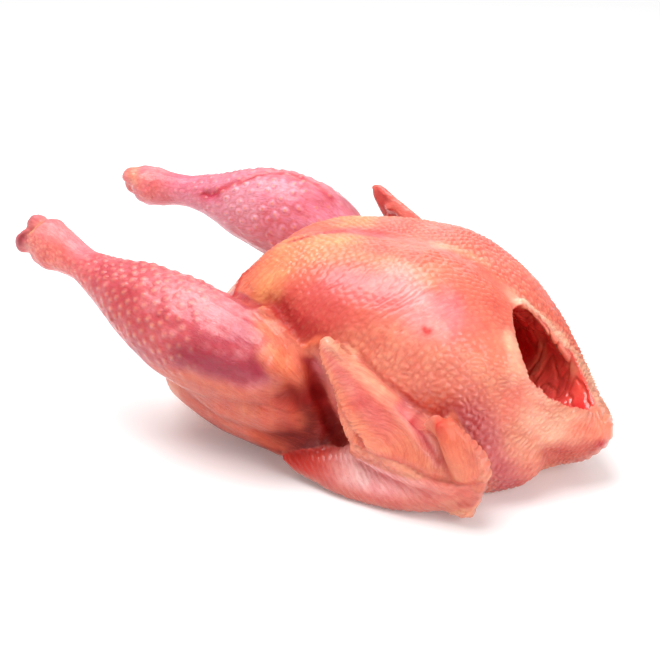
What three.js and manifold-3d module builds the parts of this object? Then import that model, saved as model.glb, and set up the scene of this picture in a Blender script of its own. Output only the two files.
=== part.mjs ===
// A whole raw turkey lying on its back: breast up, neck end towards +X, legs stretched back towards -X.
// One solid of flesh and skin. Millimetres, +Z up, origin under the middle of the bird, on the ground.
import * as THREE from 'three';
import { LoftGeometry } from 'three/addons/geometries/LoftGeometry.js';
import { mergeVertices } from 'three/addons/utils/BufferGeometryUtils.js';
import Module from 'manifold-3d';

// ---- driving dimensions -------------------------------------------------------------------------
const LEFT = -1;                 // the bird's left side lies at -Y
const RIGHT = 1;

// How many sections each form has along it, and how many points round each section.
const DETAIL = {
  torso: [34, 34],
  cavity: [14, 20],
  vent: [8, 18],
  tail: [9, 12],
  shoulder: [9, 14],
  drumstick: [20, 18],
  thigh: [14, 18],
  upperArm: [9, 12],
  forearm: [14, 14],
  hand: [14, 14],
  thumb: [9, 10],
  condyle: [8, 12],
};
const GROUND_SPAN = 900;         // the block that flattens the underside is wider than the bird
const GROUND_DEPTH = 200;
const SAME_POINT = 1e-4;         // points closer than this are one

// Torso sections from the vent to the throat and on to the end of the neck skin. x, y, z: centre; wide: half
// width; up, down: heights above and below the centre; lean: degrees by which the top leans towards the neck;
// full, base: how square the upper and the lower half are.
const TORSO = [
  { x: -101, y: 0, z: 63, wide: 40.5, up: 33.5, down: 35, lean: 34, full: 2.1, base: 2.1 },
  { x: -82.5, y: 0, z: 66.5, wide: 61, up: 52, down: 52, lean: 24, full: 2.15, base: 2.1 },
  { x: -54.5, y: 0, z: 70.5, wide: 74, up: 70.5, down: 65, lean: 12, full: 2.2, base: 2.1 },
  { x: -21.5, y: 0, z: 73, wide: 83, up: 82.5, down: 75, lean: 4, full: 2.3, base: 2.2 },
  { x: 18.5, y: 0, z: 74, wide: 89.5, up: 88, down: 77, lean: 0, full: 2.5, base: 2.2 },
  { x: 60, y: 0, z: 74, wide: 94.5, up: 89.5, down: 77, lean: 0, full: 2.6, base: 2.2 },
  { x: 97, y: 0, z: 72, wide: 94.5, up: 89, down: 75, lean: 0, full: 2.6, base: 2.3 },
  { x: 130.5, y: 1, z: 66.5, wide: 89.5, up: 81.5, down: 69.5, lean: -3, full: 2.6, base: 2.3 },
  { x: 154.5, y: 2, z: 60, wide: 79.5, up: 73, down: 61, lean: -5, full: 2.6, base: 2.1 },
  { x: 173, y: 4.5, z: 52.5, wide: 67.5, up: 65, down: 51, lean: -8, full: 2.6, base: 1.9 },
  { x: 189, y: 6, z: 47, wide: 51, up: 54, down: 40.5, lean: -10, full: 2.5, base: 1.7 },
  { x: 204, y: 4.5, z: 43.5, wide: 34, up: 39.5, down: 33, lean: -12, full: 2.3, base: 1.6 },
  { x: 216, y: 2.5, z: 41.5, wide: 22, up: 25.5, down: 20.5, lean: -12, full: 2.1, base: 1.7 },
  { x: 223.5, y: 0, z: 42, wide: 14, up: 15.5, down: 13, lean: -12, full: 2, base: 2 },
  { x: 227.5, y: 0, z: 43, wide: 7.5, up: 8.5, down: 7.5, lean: -12, full: 2, base: 2 },
  { x: 229.5, y: 0, z: 43, wide: 3, up: 3, down: 3.5, lean: -12, full: 2, base: 2 },
];
const KEEL_DIP = 0.06;           // the keel line lies this share lower than the breast beside it
const KEEL_HALF = 18;            // half width of that dip
const LEG_TIP = 0.2;             // how far a leg's thin side is tipped upwards

// Limb stations: at: centre on the bird's right side (+Y); wide, thick: half sizes across and through.
const LEG_LEFT = {
  drumstick: [
    { at: [-216.5, 71, 139], wide: 8.5, thick: 7.5 },
    { at: [-212, 71, 137], wide: 15.5, thick: 14 },
    { at: [-201, 71, 133], wide: 19.5, thick: 16.5 },
    { at: [-186, 72, 128.5], wide: 16.5, thick: 14 },
    { at: [-167.5, 75, 123], wide: 13.5, thick: 13 },
    { at: [-143.5, 77.5, 115.5], wide: 19.5, thick: 18.5 },
    { at: [-111, 81.5, 105.5], wide: 31.5, thick: 28.5 },
    { at: [-74, 86, 94.5], wide: 38, thick: 34 },
    { at: [-37, 90.5, 86], wide: 38, thick: 34 },
    { at: [-5, 94.5, 81.5], wide: 33.5, thick: 30.5 },
    { at: [15.5, 96, 78.5], wide: 25, thick: 22 },
    { at: [25, 97, 77.5], wide: 10, thick: 8.5 },
  ],
  thigh: [
    { at: [-97, 72, 52], wide: 6.5, thick: 6.5 },
    { at: [-88, 71, 50], wide: 17.5, thick: 16.5 },
    { at: [-66, 67.5, 46], wide: 28, thick: 28 },
    { at: [-36, 65, 44.5], wide: 37, thick: 35 },
    { at: [-3, 67.5, 50], wide: 46, thick: 38 },
    { at: [26.5, 72, 52.5], wide: 46, thick: 33.5 },
    { at: [47, 72, 51], wide: 35, thick: 24 },
    { at: [56.5, 71, 50], wide: 13, thick: 9 },
  ],
  condyles: [
    { at: [-217.5, 65, 145], size: [9, 8.5, 9] },
    { at: [-221, 76, 134], size: [9, 8.5, 10] },
  ],
};
const LEG_RIGHT = {
  drumstick: [
    { at: [-221, 71, 142.5], wide: 8.5, thick: 7.5 },
    { at: [-216.5, 71, 142.5], wide: 15, thick: 14 },
    { at: [-205.5, 71, 140.5], wide: 17.5, thick: 16.5 },
    { at: [-190, 73, 139.5], wide: 15.5, thick: 14 },
    { at: [-169.5, 75, 139], wide: 13.5, thick: 13 },
    { at: [-145.5, 79.5, 137], wide: 20.5, thick: 18.5 },
    { at: [-116, 84, 132.5], wide: 32.5, thick: 28.5 },
    { at: [-86, 89, 127.5], wide: 39, thick: 34 },
    { at: [-60, 92.5, 121], wide: 37, thick: 33.5 },
    { at: [-40, 95.5, 113], wide: 31.5, thick: 29.5 },
    { at: [-25, 96, 107.5], wide: 23, thick: 21.5 },
    { at: [-17.5, 96, 104.5], wide: 10, thick: 8.5 },
  ],
  thigh: [
    { at: [-93.5, 65, 61], wide: 6.5, thick: 6.5 },
    { at: [-85, 65.5, 57.5], wide: 18.5, thick: 16.5 },
    { at: [-66, 66.5, 50], wide: 30.5, thick: 28 },
    { at: [-40, 67.5, 50], wide: 42.5, thick: 35 },
    { at: [-10.5, 72, 61], wide: 51, thick: 38 },
    { at: [15.5, 76, 66.5], wide: 49, thick: 34 },
    { at: [34, 77.5, 66.5], wide: 35, thick: 24 },
    { at: [42.5, 77.5, 66.5], wide: 13, thick: 9 },
  ],
  condyles: [
    { at: [-222, 65.5, 148], size: [9, 7.5, 8.5] },
    { at: [-225, 75, 138], size: [8.5, 8.5, 9] },
  ],
};
const SHOULDER = [
  { at: [100.5, 57.5, 40.5], wide: 9, thick: 9 },
  { at: [112, 55.5, 40], wide: 29.5, thick: 24 },
  { at: [137.5, 51, 37], wide: 39, thick: 32.5 },
  { at: [162, 41.5, 32.5], wide: 35, thick: 29.5 },
  { at: [180, 31.5, 28.5], wide: 24, thick: 20.5 },
  { at: [188.5, 26, 27], wide: 8.5, thick: 7.5 },
];
const TAIL = [
  { at: [-79, 0, 37], wide: 28, thick: 18.5 },
  { at: [-106.5, 0, 35], wide: 24, thick: 13 },
  { at: [-128.5, 0, 39], wide: 17.5, thick: 9 },
  { at: [-141.5, 0, 44.5], wide: 11, thick: 6.5 },
  { at: [-146.5, 0, 47], wide: 3.5, thick: 3 },
];

// Wings. The left wing lies folded in a Z against the side; the right one is folded higher up.
const WING_LEFT = {
  face: [0.12, -0.86, 0.5],
  upperArm: [
    { at: [156, -61, 39], wide: 20.5, thick: 16.5 },
    { at: [115.5, -77.5, 29.5], wide: 18.5, thick: 15 },
    { at: [69, -85, 24], wide: 16.5, thick: 12 },
    { at: [36, -90.5, 20.5], wide: 12, thick: 8.5 },
    { at: [21, -93.5, 18.5], wide: 5.5, thick: 4.5 },
  ],
  forearm: [
    { at: [17.5, -98, 16.5], wide: 3, thick: 3 },
    { at: [28.5, -98, 15.5], wide: 8.5, thick: 5.5 },
    { at: [60, -98, 16.5], wide: 16.5, thick: 10 },
    { at: [97, -98, 19.5], wide: 21.5, thick: 13 },
    { at: [132, -96, 24], wide: 20.5, thick: 13 },
    { at: [156, -92.5, 30.5], wide: 16.5, thick: 11 },
    { at: [167.5, -89.5, 35], wide: 8.5, thick: 6.5 },
  ],
  hand: [
    { at: [163.5, -95.5, 33.5], wide: 8.5, thick: 6.5 },
    { at: [154.5, -98, 40], wide: 16.5, thick: 8.5 },
    { at: [134, -102, 52.5], wide: 25, thick: 7.5 },
    { at: [110, -103.5, 67.5], wide: 28, thick: 6 },
    { at: [86, -103.5, 84], wide: 22, thick: 4.5 },
    { at: [65.5, -102, 102], wide: 14, thick: 3.5 },
    { at: [54.5, -100, 112], wide: 9, thick: 3 },
    { at: [49, -99, 116.5], wide: 3.5, thick: 2 },
  ],
  thumb: [
    { at: [163.5, -100, 39], wide: 7.5, thick: 5.5 },
    { at: [156, -103.5, 53.5], wide: 9, thick: 5.5 },
    { at: [145, -105.5, 68.5], wide: 7.5, thick: 4.5 },
    { at: [136, -105.5, 78.5], wide: 4.5, thick: 3.5 },
    { at: [133, -105.5, 81.5], wide: 2, thick: 2 },
  ],
};
const WING_RIGHT = {
  face: [0.1, 0.86, 0.5],
  upperArm: [
    { at: [152.5, 61, 42.5], wide: 20.5, thick: 16.5 },
    { at: [111, 79.5, 33.5], wide: 18.5, thick: 15 },
    { at: [64.5, 89, 26], wide: 16.5, thick: 12 },
    { at: [30.5, 98, 22], wide: 12, thick: 8.5 },
    { at: [15.5, 102, 20.5], wide: 5.5, thick: 4.5 },
  ],
  forearm: [
    { at: [8, 103.5, 20.5], wide: 3, thick: 3 },
    { at: [21, 103.5, 21.5], wide: 8.5, thick: 5.5 },
    { at: [49, 104.5, 26], wide: 16.5, thick: 10 },
    { at: [76.5, 104.5, 35], wide: 20.5, thick: 12 },
    { at: [99, 103.5, 48], wide: 17.5, thick: 11 },
    { at: [110, 102, 57.5], wide: 8.5, thick: 6.5 },
  ],
  hand: [
    { at: [113.5, 103.5, 61], wide: 9, thick: 7.5 },
    { at: [100.5, 105.5, 70.5], wide: 18.5, thick: 8.5 },
    { at: [75, 107.5, 85], wide: 29.5, thick: 7.5 },
    { at: [47, 108, 104.5], wide: 29.5, thick: 6 },
    { at: [21, 108, 126], wide: 22, thick: 4.5 },
    { at: [2.5, 108, 143.5], wide: 14, thick: 3.5 },
    { at: [-6.5, 108, 153.5], wide: 8.5, thick: 3 },
    { at: [-11, 108, 158], wide: 2.5, thick: 2 },
  ],
  thumb: [
    { at: [112, 105.5, 65], wide: 7.5, thick: 5.5 },
    { at: [106, 109, 79.5], wide: 9, thick: 5.5 },
    { at: [97, 111, 92.5], wide: 7.5, thick: 4.5 },
    { at: [88, 111, 100], wide: 4.5, thick: 3.5 },
    { at: [85, 111, 102], wide: 2, thick: 2 },
  ],
};

// The hollow that opens at the throat, from its inner end out through the skin.
const CAVITY = [
  { x: 28.5, y: 0, z: 70.5, wide: 15, up: 15, down: 15, lean: 0, full: 2, base: 2 },
  { x: 39.5, y: 0, z: 70.5, wide: 35, up: 31.5, down: 29.5, lean: 0, full: 2.1, base: 2.1 },
  { x: 78.5, y: 0, z: 72, wide: 48, up: 42.5, down: 37, lean: -6, full: 2.1, base: 2.1 },
  { x: 117.5, y: 0, z: 74, wide: 48, up: 42.5, down: 39, lean: -20, full: 2.1, base: 2.1 },
  { x: 152.5, y: -3, z: 79.5, wide: 39, up: 40.5, down: 39, lean: -36, full: 2, base: 2 },
  { x: 184, y: -6.5, z: 91.5, wide: 30.5, up: 44.5, down: 47, lean: -46, full: 1.85, base: 1.18 },
  { x: 215.5, y: -8.5, z: 123, wide: 29.5, up: 46, down: 46, lean: -46, full: 1.85, base: 1.18 },
];

// The opening cut at the vent, from the outside in.
const VENT = [
  { x: -138, y: 0, z: 77.5, wide: 31.5, up: 28, down: 24, lean: 34, full: 2, base: 2 },
  { x: -103, y: 0, z: 68.5, wide: 31.5, up: 28.5, down: 24, lean: 34, full: 2, base: 2 },
  { x: -79, y: 0, z: 63, wide: 29.5, up: 28, down: 22, lean: 24, full: 2, base: 2 },
  { x: -58.5, y: 0, z: 61, wide: 22, up: 20.5, down: 16.5, lean: 10, full: 2, base: 2 },
  { x: -49, y: 0, z: 61, wide: 8.5, up: 8.5, down: 7.5, lean: 0, full: 2, base: 2 },
];

// ---- shape helpers ------------------------------------------------------------------------------
const mod = await Module();
mod.setup();

/** Catmull-Rom value of a list of numbers at position u (0 .. length - 1). */
function smooth(values, u) {
  const last = values.length - 1;
  const i = Math.min(Math.floor(u), last - 1);
  const f = u - i;
  const p1 = values[i];
  const p2 = values[i + 1];
  const p0 = i > 0 ? values[i - 1] : 2 * p1 - p2;
  const p3 = i + 2 <= last ? values[i + 2] : 2 * p2 - p1;
  const slope = p2 - p0;
  const bend = 2 * p0 - 5 * p1 + 4 * p2 - p3;
  const twist = 3 * p1 - p0 - 3 * p2 + p3;
  return p1 + 0.5 * f * (slope + f * (bend + f * twist));
}

/** Signed power, for superellipses. */
function bulge(value, exponent) {
  return Math.sign(value) * Math.abs(value) ** exponent;
}

/** A closed solid for the boolean library, from a closed three.js geometry. */
function toSolid(geometry) {
  geometry.deleteAttribute('normal');
  geometry.deleteAttribute('uv');
  const merged = mergeVertices(geometry, SAME_POINT);
  return new mod.Manifold(new mod.Mesh({
    numProp: 3,
    vertProperties: new Float32Array(merged.attributes.position.array),
    triVerts: new Uint32Array(merged.index.array),
  }));
}

/** Body of upright sections across X, from stations like those of the torso. */
function trunk(stations, [rings, sides], dip = 0) {
  const value = (key, u) => smooth(stations.map((station) => station[key]), u);
  const sections = [];
  for (let ring = 0; ring < rings; ring++) {
    const u = (ring / (rings - 1)) * (stations.length - 1);
    const lean = THREE.MathUtils.degToRad(value('lean', u));
    const points = [];
    for (let side = 0; side < sides; side++) {
      const angle = (side / sides) * Math.PI * 2;
      const upper = Math.cos(angle) > 0;
      const power = 2 / value(upper ? 'full' : 'base', u);
      const y = value('wide', u) * bulge(Math.sin(angle), power);
      const height = value(upper ? 'up' : 'down', u);
      let rise = height * bulge(Math.cos(angle), power);
      if (upper) {
        rise *= 1 - dip * Math.exp(-((y / KEEL_HALF) ** 2));
      }
      points.push(new THREE.Vector3(
        value('x', u) + rise * Math.sin(lean),
        value('y', u) - y,
        value('z', u) + rise * Math.cos(lean),
      ));
    }
    sections.push(points);
  }
  return toSolid(new LoftGeometry(sections, { capStart: true, capEnd: true }));
}

/** Limb of oval sections along a smooth path; face is the direction in which the limb is thin. */
function limb(stations, face, [rings, sides], mirror = RIGHT) {
  const place = (station) => new THREE.Vector3(station.at[0], station.at[1] * mirror, station.at[2]);
  const path = new THREE.CatmullRomCurve3(stations.map(place), false, 'centripetal');
  const thin = new THREE.Vector3(...face);
  const sections = [];
  for (let ring = 0; ring < rings; ring++) {
    const t = ring / (rings - 1);
    const u = t * (stations.length - 1);
    const centre = path.getPoint(t);
    const along = path.getTangent(t);
    const across = new THREE.Vector3().crossVectors(thin, along).normalize();
    const through = new THREE.Vector3().crossVectors(along, across).normalize();
    const wide = smooth(stations.map((station) => station.wide), u);
    const thick = smooth(stations.map((station) => station.thick), u);
    const points = [];
    for (let side = 0; side < sides; side++) {
      const angle = (side / sides) * Math.PI * 2;
      points.push(centre.clone()
        .addScaledVector(across, wide * Math.cos(angle))
        .addScaledVector(through, thick * Math.sin(angle)));
    }
    sections.push(points);
  }
  return toSolid(new LoftGeometry(sections, { capStart: true, capEnd: true }));
}

/** Ellipsoid with its half sizes along X, Y and Z. */
function knob(at, size, [rings, sides], mirror) {
  const ball = new THREE.SphereGeometry(1, sides, rings);
  ball.scale(...size);
  ball.translate(at[0], at[1] * mirror, at[2]);
  return toSolid(ball);
}

// ---- the bird -----------------------------------------------------------------------------------
/** One leg: a leg is thinnest sideways, tipped a little up. */
function leg(parts, side) {
  const face = [0, side, LEG_TIP];
  const drumstick = limb(parts.drumstick, face, DETAIL.drumstick, side);
  const thigh = limb(parts.thigh, face, DETAIL.thigh, side);
  const ends = parts.condyles.map((end) => knob(end.at, end.size, DETAIL.condyle, side));
  return ends.reduce((sum, end) => sum.add(end), drumstick.add(thigh));
}

/** One folded wing. */
function wing(bones) {
  const upperArm = limb(bones.upperArm, bones.face, DETAIL.upperArm);
  const forearm = limb(bones.forearm, bones.face, DETAIL.forearm);
  const hand = limb(bones.hand, bones.face, DETAIL.hand);
  const thumb = limb(bones.thumb, bones.face, DETAIL.thumb);
  return upperArm.add(forearm).add(hand).add(thumb);
}

/** The whole bird, flattened where it lies on the ground. */
function bird() {
  let flesh = trunk(TORSO, DETAIL.torso, KEEL_DIP).add(limb(TAIL, [0, 0, 1], DETAIL.tail));
  for (const side of [LEFT, RIGHT]) {
    flesh = flesh.add(limb(SHOULDER, [0, side, 0], DETAIL.shoulder, side));
  }
  flesh = flesh.add(leg(LEG_LEFT, LEFT)).add(leg(LEG_RIGHT, RIGHT));
  flesh = flesh.add(wing(WING_LEFT)).add(wing(WING_RIGHT));
  flesh = flesh.subtract(trunk(CAVITY, DETAIL.cavity)).subtract(trunk(VENT, DETAIL.vent));
  const ground = new THREE.BoxGeometry(GROUND_SPAN, GROUND_SPAN, GROUND_DEPTH);
  ground.translate(0, 0, -GROUND_DEPTH / 2);
  return flesh.subtract(toSolid(ground));
}

/** three.js geometry of a finished solid. */
function toGeometry(solid) {
  const mesh = solid.getMesh();
  const geometry = new THREE.BufferGeometry();
  geometry.setAttribute('position', new THREE.BufferAttribute(new Float32Array(mesh.vertProperties), 3));
  geometry.setIndex(new THREE.BufferAttribute(new Uint32Array(mesh.triVerts), 1));
  geometry.computeVertexNormals();
  return geometry;
}

const skin = new THREE.MeshStandardMaterial({ color: 0xe79a85, roughness: 0.42, metalness: 0 });
const shape = toGeometry(bird());
shape.computeBoundingBox();
const middle = shape.boundingBox.getCenter(new THREE.Vector3());
shape.translate(-middle.x, -middle.y, 0);
const turkey = new THREE.Mesh(shape, skin);
turkey.name = 'turkey';

const group = new THREE.Group();
group.add(turkey);
export default group;
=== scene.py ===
import math
from collections import namedtuple

import bmesh
import bpy
import numpy as np
from mathutils import Matrix, Vector


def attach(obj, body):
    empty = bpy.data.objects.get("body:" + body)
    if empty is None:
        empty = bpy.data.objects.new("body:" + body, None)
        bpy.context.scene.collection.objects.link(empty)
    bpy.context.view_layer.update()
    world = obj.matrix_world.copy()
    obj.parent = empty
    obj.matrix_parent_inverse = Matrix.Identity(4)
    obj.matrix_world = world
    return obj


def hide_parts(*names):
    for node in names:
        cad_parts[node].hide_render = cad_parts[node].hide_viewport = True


bl_info = {
    "name": "Raw turkey",
    "version": (1, 0, 0),
    "blender": (4, 5, 0),
    "location": "3D View > Sidebar > Turkey",
    "description": "Dresses the plain solid of a whole raw turkey in skin, flesh and gristle",
    "category": "Object",
}

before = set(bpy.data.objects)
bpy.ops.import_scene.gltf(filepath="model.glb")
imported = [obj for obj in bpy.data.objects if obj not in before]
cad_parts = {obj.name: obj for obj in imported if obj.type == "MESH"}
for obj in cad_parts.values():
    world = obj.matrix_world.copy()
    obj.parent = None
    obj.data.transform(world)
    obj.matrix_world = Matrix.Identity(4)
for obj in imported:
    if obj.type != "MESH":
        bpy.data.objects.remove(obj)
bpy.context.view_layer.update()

MM = 0.001
LEFT = -1  # the bird lies on its back with its neck towards +X, so its left side is at -Y
RIGHT = 1
SIDES = ((LEFT, "left"), (RIGHT, "right"))


# ---- places on the bird, in millimetres ----------------------------------------------------------
# Each limb is a path down its middle with a radius at every point.
LEG_PATH = {
    LEFT: (
        (-217, -71, 140), (-199, -71, 133), (-184, -72, 128), (-166, -75, 123), (-142, -77, 115),
        (-109, -81, 105), (-72, -86, 94), (-35, -90, 86), (-3, -94, 81), (25, -97, 77),
    ),
    RIGHT: (
        (-221, 71, 143), (-204, 71, 140), (-188, 73, 139), (-168, 75, 139), (-144, 79, 137),
        (-114, 84, 132), (-84, 89, 127), (-58, 92, 121), (-38, 95, 113), (-16, 96, 104),
    ),
}
LEG_RADIUS = (16, 18, 15, 13, 19, 30, 36, 36, 32, 22)
THIGH_PATH = {
    LEFT: ((-95, -72, 52), (-64, -67, 46), (-34, -65, 44), (-1, -67, 50), (28, -72, 52), (58, -71, 50)),
    RIGHT: ((-92, 65, 61), (-64, 66, 50), (-38, 67, 50), (-9, 72, 61), (17, 76, 66), (44, 77, 66)),
}
THIGH_RADIUS = (10, 28, 37, 42, 40, 15)
HAND_PATH = {
    LEFT: (
        (165, -95, 33), (156, -98, 40), (136, -102, 52), (112, -103, 67), (88, -103, 84), (67, -102, 102),
        (51, -99, 116),
    ),
    RIGHT: (
        (115, 103, 61), (102, 105, 70), (77, 107, 85), (49, 108, 104), (23, 108, 126), (4, 108, 143),
        (-9, 108, 158),
    ),
}
HAND_RADIUS = (9, 17, 25, 28, 22, 14, 5)
FOREARM_PATH = {
    LEFT: (
        (19, -98, 16), (30, -98, 15), (62, -98, 16), (99, -98, 19), (134, -96, 24), (158, -92, 30),
        (169, -89, 35),
    ),
    RIGHT: ((10, 103, 20), (23, 103, 21), (51, 104, 26), (78, 104, 35), (101, 103, 48), (112, 102, 57)),
}
FOREARM_RADIUS = {
    LEFT: (3, 9, 16, 21, 20, 17, 9),
    RIGHT: (3, 9, 16, 20, 18, 9),
}
THUMB_PATH = {
    LEFT: ((165, -100, 39), (158, -103, 53), (147, -105, 68), (138, -105, 78), (135, -105, 82)),
    RIGHT: ((114, 105, 65), (108, 109, 79), (99, 111, 92), (90, 111, 100), (87, 111, 102)),
}
THUMB_RADIUS = (7, 9, 7, 4, 2)
# The web of skin behind an outer wing, given for the left side.
WEB_PATH = (
    (62, -104, 100), (67, -106, 84), (74, -107, 66), (84, -107, 54), (104, -109, 54), (122, -108, 52),
)
WEB_RADIUS = (4, 6, 8, 8, 9, 9)

# The hollow at the neck and the one at the vent. Skin inside the core is the inner end of one of them.
HOLLOW_PATH = ((30, 0, 70), (80, 0, 72), (119, 0, 74), (154, -3, 79), (186, -6, 91), (217, -8, 123))
HOLLOW_RADIUS = (15, 46, 46, 41, 40, 40)
VENT_PATH = ((-136, 0, 77), (-101, 0, 68), (-77, 0, 63), (-47, 0, 61))
VENT_RADIUS = (29, 29, 28, 9)
CORE_PATH = ((-54, 0, 61), (50, 0, 70))
CORE_RADIUS = (39, 44)

# Lines on the skin that several steps follow. Those on a limb are given for the left side.
THIGH_SIDE = ((-54, -90, 60), (-22, -95, 58), (10, -97, 56), (30, -90, 54), (38, -84, 44))
THIGH_SIDE_RADIUS = (16, 23, 23, 20, 16)
THUMB_SKIN = ((143, -114, 79), (149, -116, 70), (154, -115, 60), (158, -111, 48))
THUMB_SKIN_RADIUS = (8, 11, 13, 12)
THUMB_LOBE = ((145, -113, 77), (150, -113, 69), (155, -111, 59), (160, -107, 46))
GROOVE_PATH = (
    (104, -100, 88), (112, -101, 81), (121, -102, 73), (130, -103, 64), (137, -105, 56), (143, -108, 49),
)
CORD_PATH = (
    (63, -100, 116), (75, -100, 111), (89, -100, 101), (103, -100, 91), (113, -100, 83), (123, -102, 75),
    (131, -102, 68),
)
BEND_PATH = (
    (80, -110, 49), (100, -113, 46), (114, -113, 48), (126, -113, 43), (136, -112, 38), (149, -111, 37),
    (160, -108, 35),
)
LEADING_EDGE = ((59, -100, 115), (133, -100, 64))
STAR_PATH = ((28, -90, 99), (36, -90, 104), (43, -88, 110))
CUT_EDGE = ((-36, -40, 138), (-44, -44, 126), (-42, -56, 116), (-34, -66, 112))
TENDON_PATH = (
    (-133, 62, 147), (-111, 68, 158), (-92, 78, 166), (-74, 86, 165), (-57, 88, 161), (-36, 86, 150),
)
RIM_PATH = ((157, 2, 127), (170, 12, 109), (181, 19, 92), (191, 22, 77), (201, 20, 67), (212, 10, 59))
WING_SHIFT = (-50, 0, 28)  # the right wing is folded a little further back and higher than the left one
SIDE_PLANE = 110  # lines on a wing are found in a side view, on a plane this far from the middle
FLAP_SPOT = (156, -95, 14)
EDGE_NICK = ((77, -99, 108), (85, -99, 102))

# Lumps of flesh and skin laid on the solid before it is smoothed: a path and its thickness at every point.
LUMPS_BOTH = (
    ("side of the thigh", THIGH_SIDE, THIGH_SIDE_RADIUS),
    ("web from the thigh to the breast", ((-38, -76, 106), (-10, -81, 111), (14, -86, 105), (30, -87, 96)),
     (7, 9, 9, 8)),
    ("web towards the wing", ((26, -89, 98), (34, -88, 98), (46, -86, 101)), (4, 3.4, 2.6)),
    ("edge of the web", ((4, -86, 112), (16, -88, 106), (28, -89, 99)), (3, 3, 3)),
    ("peak of the web", ((-8, -81, 118), (-2, -82, 120), (4, -83, 117)), (4, 4.5, 4)),
    ("front of the knee", ((14, -92, 94), (26, -91, 84), (33, -90, 72), (38, -89, 58), (42, -87, 44)),
     (11, 12, 12, 12, 11)),
    ("foot of the thigh", ((-40, -90, 36), (-8, -94, 35), (20, -94, 34), (40, -90, 32)), (10, 12, 12, 10)),
)
LUMPS_WING = (
    ("thumb", THUMB_LOBE, (4.2, 6.5, 8.5, 9)),
    ("trailing skin of the wing",
     ((63, -103, 99), (66, -105, 84), (72, -107, 67), (79, -109, 56), (84, -110, 48)),
     (3, 3.6, 4.5, 6, 6.5)),
    ("tip of the wing", ((58, -102, 115), (65, -103, 116), (73, -101, 110), (80, -100, 104)),
     (3.6, 4.5, 4.5, 4)),
    ("lower edge of the wing's web", ((84, -110, 46), (94, -110, 46), (106, -110, 47), (124, -109, 46)),
     (6.5, 7, 8, 7.5)),
    ("fold between hand and forearm",
     ((80, -103, 40), (94, -106, 39), (110, -107, 38), (128, -107, 34), (148, -105, 32)), (7, 8, 9, 9, 8)),
    ("knuckle of the wrist", ((166, -104, 55), (170, -102, 48), (170, -100, 42)), (5, 6, 6)),
    ("back of the thumb", ((151, -108, 77), (158, -107, 68), (164, -104, 58), (167, -100, 47)),
     (4, 6, 8, 9)),
    ("middle of the wing's web", ((74, -105, 84), (80, -106, 68), (91, -107, 60), (110, -107, 58)),
     (5, 6, 7, 8)),
)
LUMPS_ONCE = (
    ("rolled rim of the neck skin", (*RIM_PATH, (221, -6, 56)), (2.5, 3.4, 3.8, 4.0, 3.8, 3.4, 2.5)),
    ("fold of membrane", ((166, 33, 98), (171, 34, 84), (173, 35, 70), (168, 33, 58), (158, 30, 50)),
     (4, 5, 6, 7, 6)),
    ("second fold", ((152, 38, 102), (158, 42, 88), (160, 42, 74), (154, 40, 62)), (4, 5, 5, 4)),
    ("lump in the hollow", ((178, 28, 56), (188, 21, 54), (196, 13, 50)), (6, 7, 6)),
    ("lump low in the hollow", ((176, 14, 44), (186, 8, 42), (196, 2, 44)), (7, 8, 6)),
    ("strip inside the rim", ((164, 20, 110), (175, 29, 92), (184, 33, 78), (195, 27, 66), (208, 14, 58)),
     (2, 4, 4.5, 4.5, 3)),
    ("flap below the wrist", ((143, -98, 17), (152, -101, 13), (161, -101, 12), (164, -97, 21)),
     (7, 7, 6, 7)),
)

# Folds pressed into the smooth skin: path, half width, and rise (negative for a crease).
CREASES_BOTH = (
    ("hollow of the knee", ((-104, -84, 66), (-84, -93, 63), (-62, -100, 62), (-38, -106, 60)), 4.5, -4.5),
    ("second fold at the knee", ((-92, -98, 74), (-70, -106, 70), (-46, -113, 68)), 2.6, -1.2),
    ("gap before the thigh", ((33, -91, 88), (45, -94, 70), (53, -92, 52), (60, -90, 36), (62, -90, 18)),
     4.2, -8.0),
    ("cut edge of the breast", CUT_EDGE, 2.4, 1.6),
    ("web edge", ((-34, -70, 112), (-8, -78, 119), (12, -84, 113), (28, -86, 100)), 2.0, 0.8),
    ("ridge of the peak", ((-7, -79, 124), (-3, -84, 118), (2, -88, 112)), 1.7, 1.5),
    ("star by the wing", STAR_PATH, 1.9, 1.6),
    ("flank below the web", ((-24, -66, 124), (2, -76, 122), (20, -84, 110)), 7.0, -2.2),
)
CREASES_WING = (
    ("groove beside the thumb", GROOVE_PATH, 2.5, -4.5),
    ("ridge beside the groove",
     ((98, -103, 86), (107, -107, 80), (116, -109, 71), (125, -110, 62), (134, -112, 53)), 2.3, 1.7),
    ("start of the fold over the forearm", BEND_PATH[:3], 2.4, -0.9),
    ("fold over the forearm", BEND_PATH[2:], 2.0, -2.6),
    ("cord of the leading edge", CORD_PATH, 1.7, 1.5),
)
CREASES_ONCE = (
    ("keel nick", ((-14, -28, 152), (-3, -22, 155), (6, -12, 157), (20, -2, 158)), 2.2, -1.0),
    ("keel groove", ((22, 0, 158), (46, -2, 159), (72, -4, 160)), 8.0, -1.2),
    ("keel ridge", ((-30, -20, 148), (10, -16, 158), (60, -14, 162), (110, -14, 155)), 4.0, 0.8),
    ("second groove", ((60, -16, 162), (92, -20, 160), (124, -22, 150)), 4.5, -0.5),
    ("neck flap", ((186, -46, 42), (200, -32, 30), (212, -18, 24)), 4.0, -2.0),
    ("tendon dent", ((-150, 62, 142), (-139, 62, 144), (-128, 62, 147)), 3.6, -3.5),
    ("tendon line", TENDON_PATH, 2.2, -1.3),
    ("throat dent", ((150, 4, 131), (156, 0, 128), (160, -2, 124)), 4.0, -1.5),
)

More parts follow.
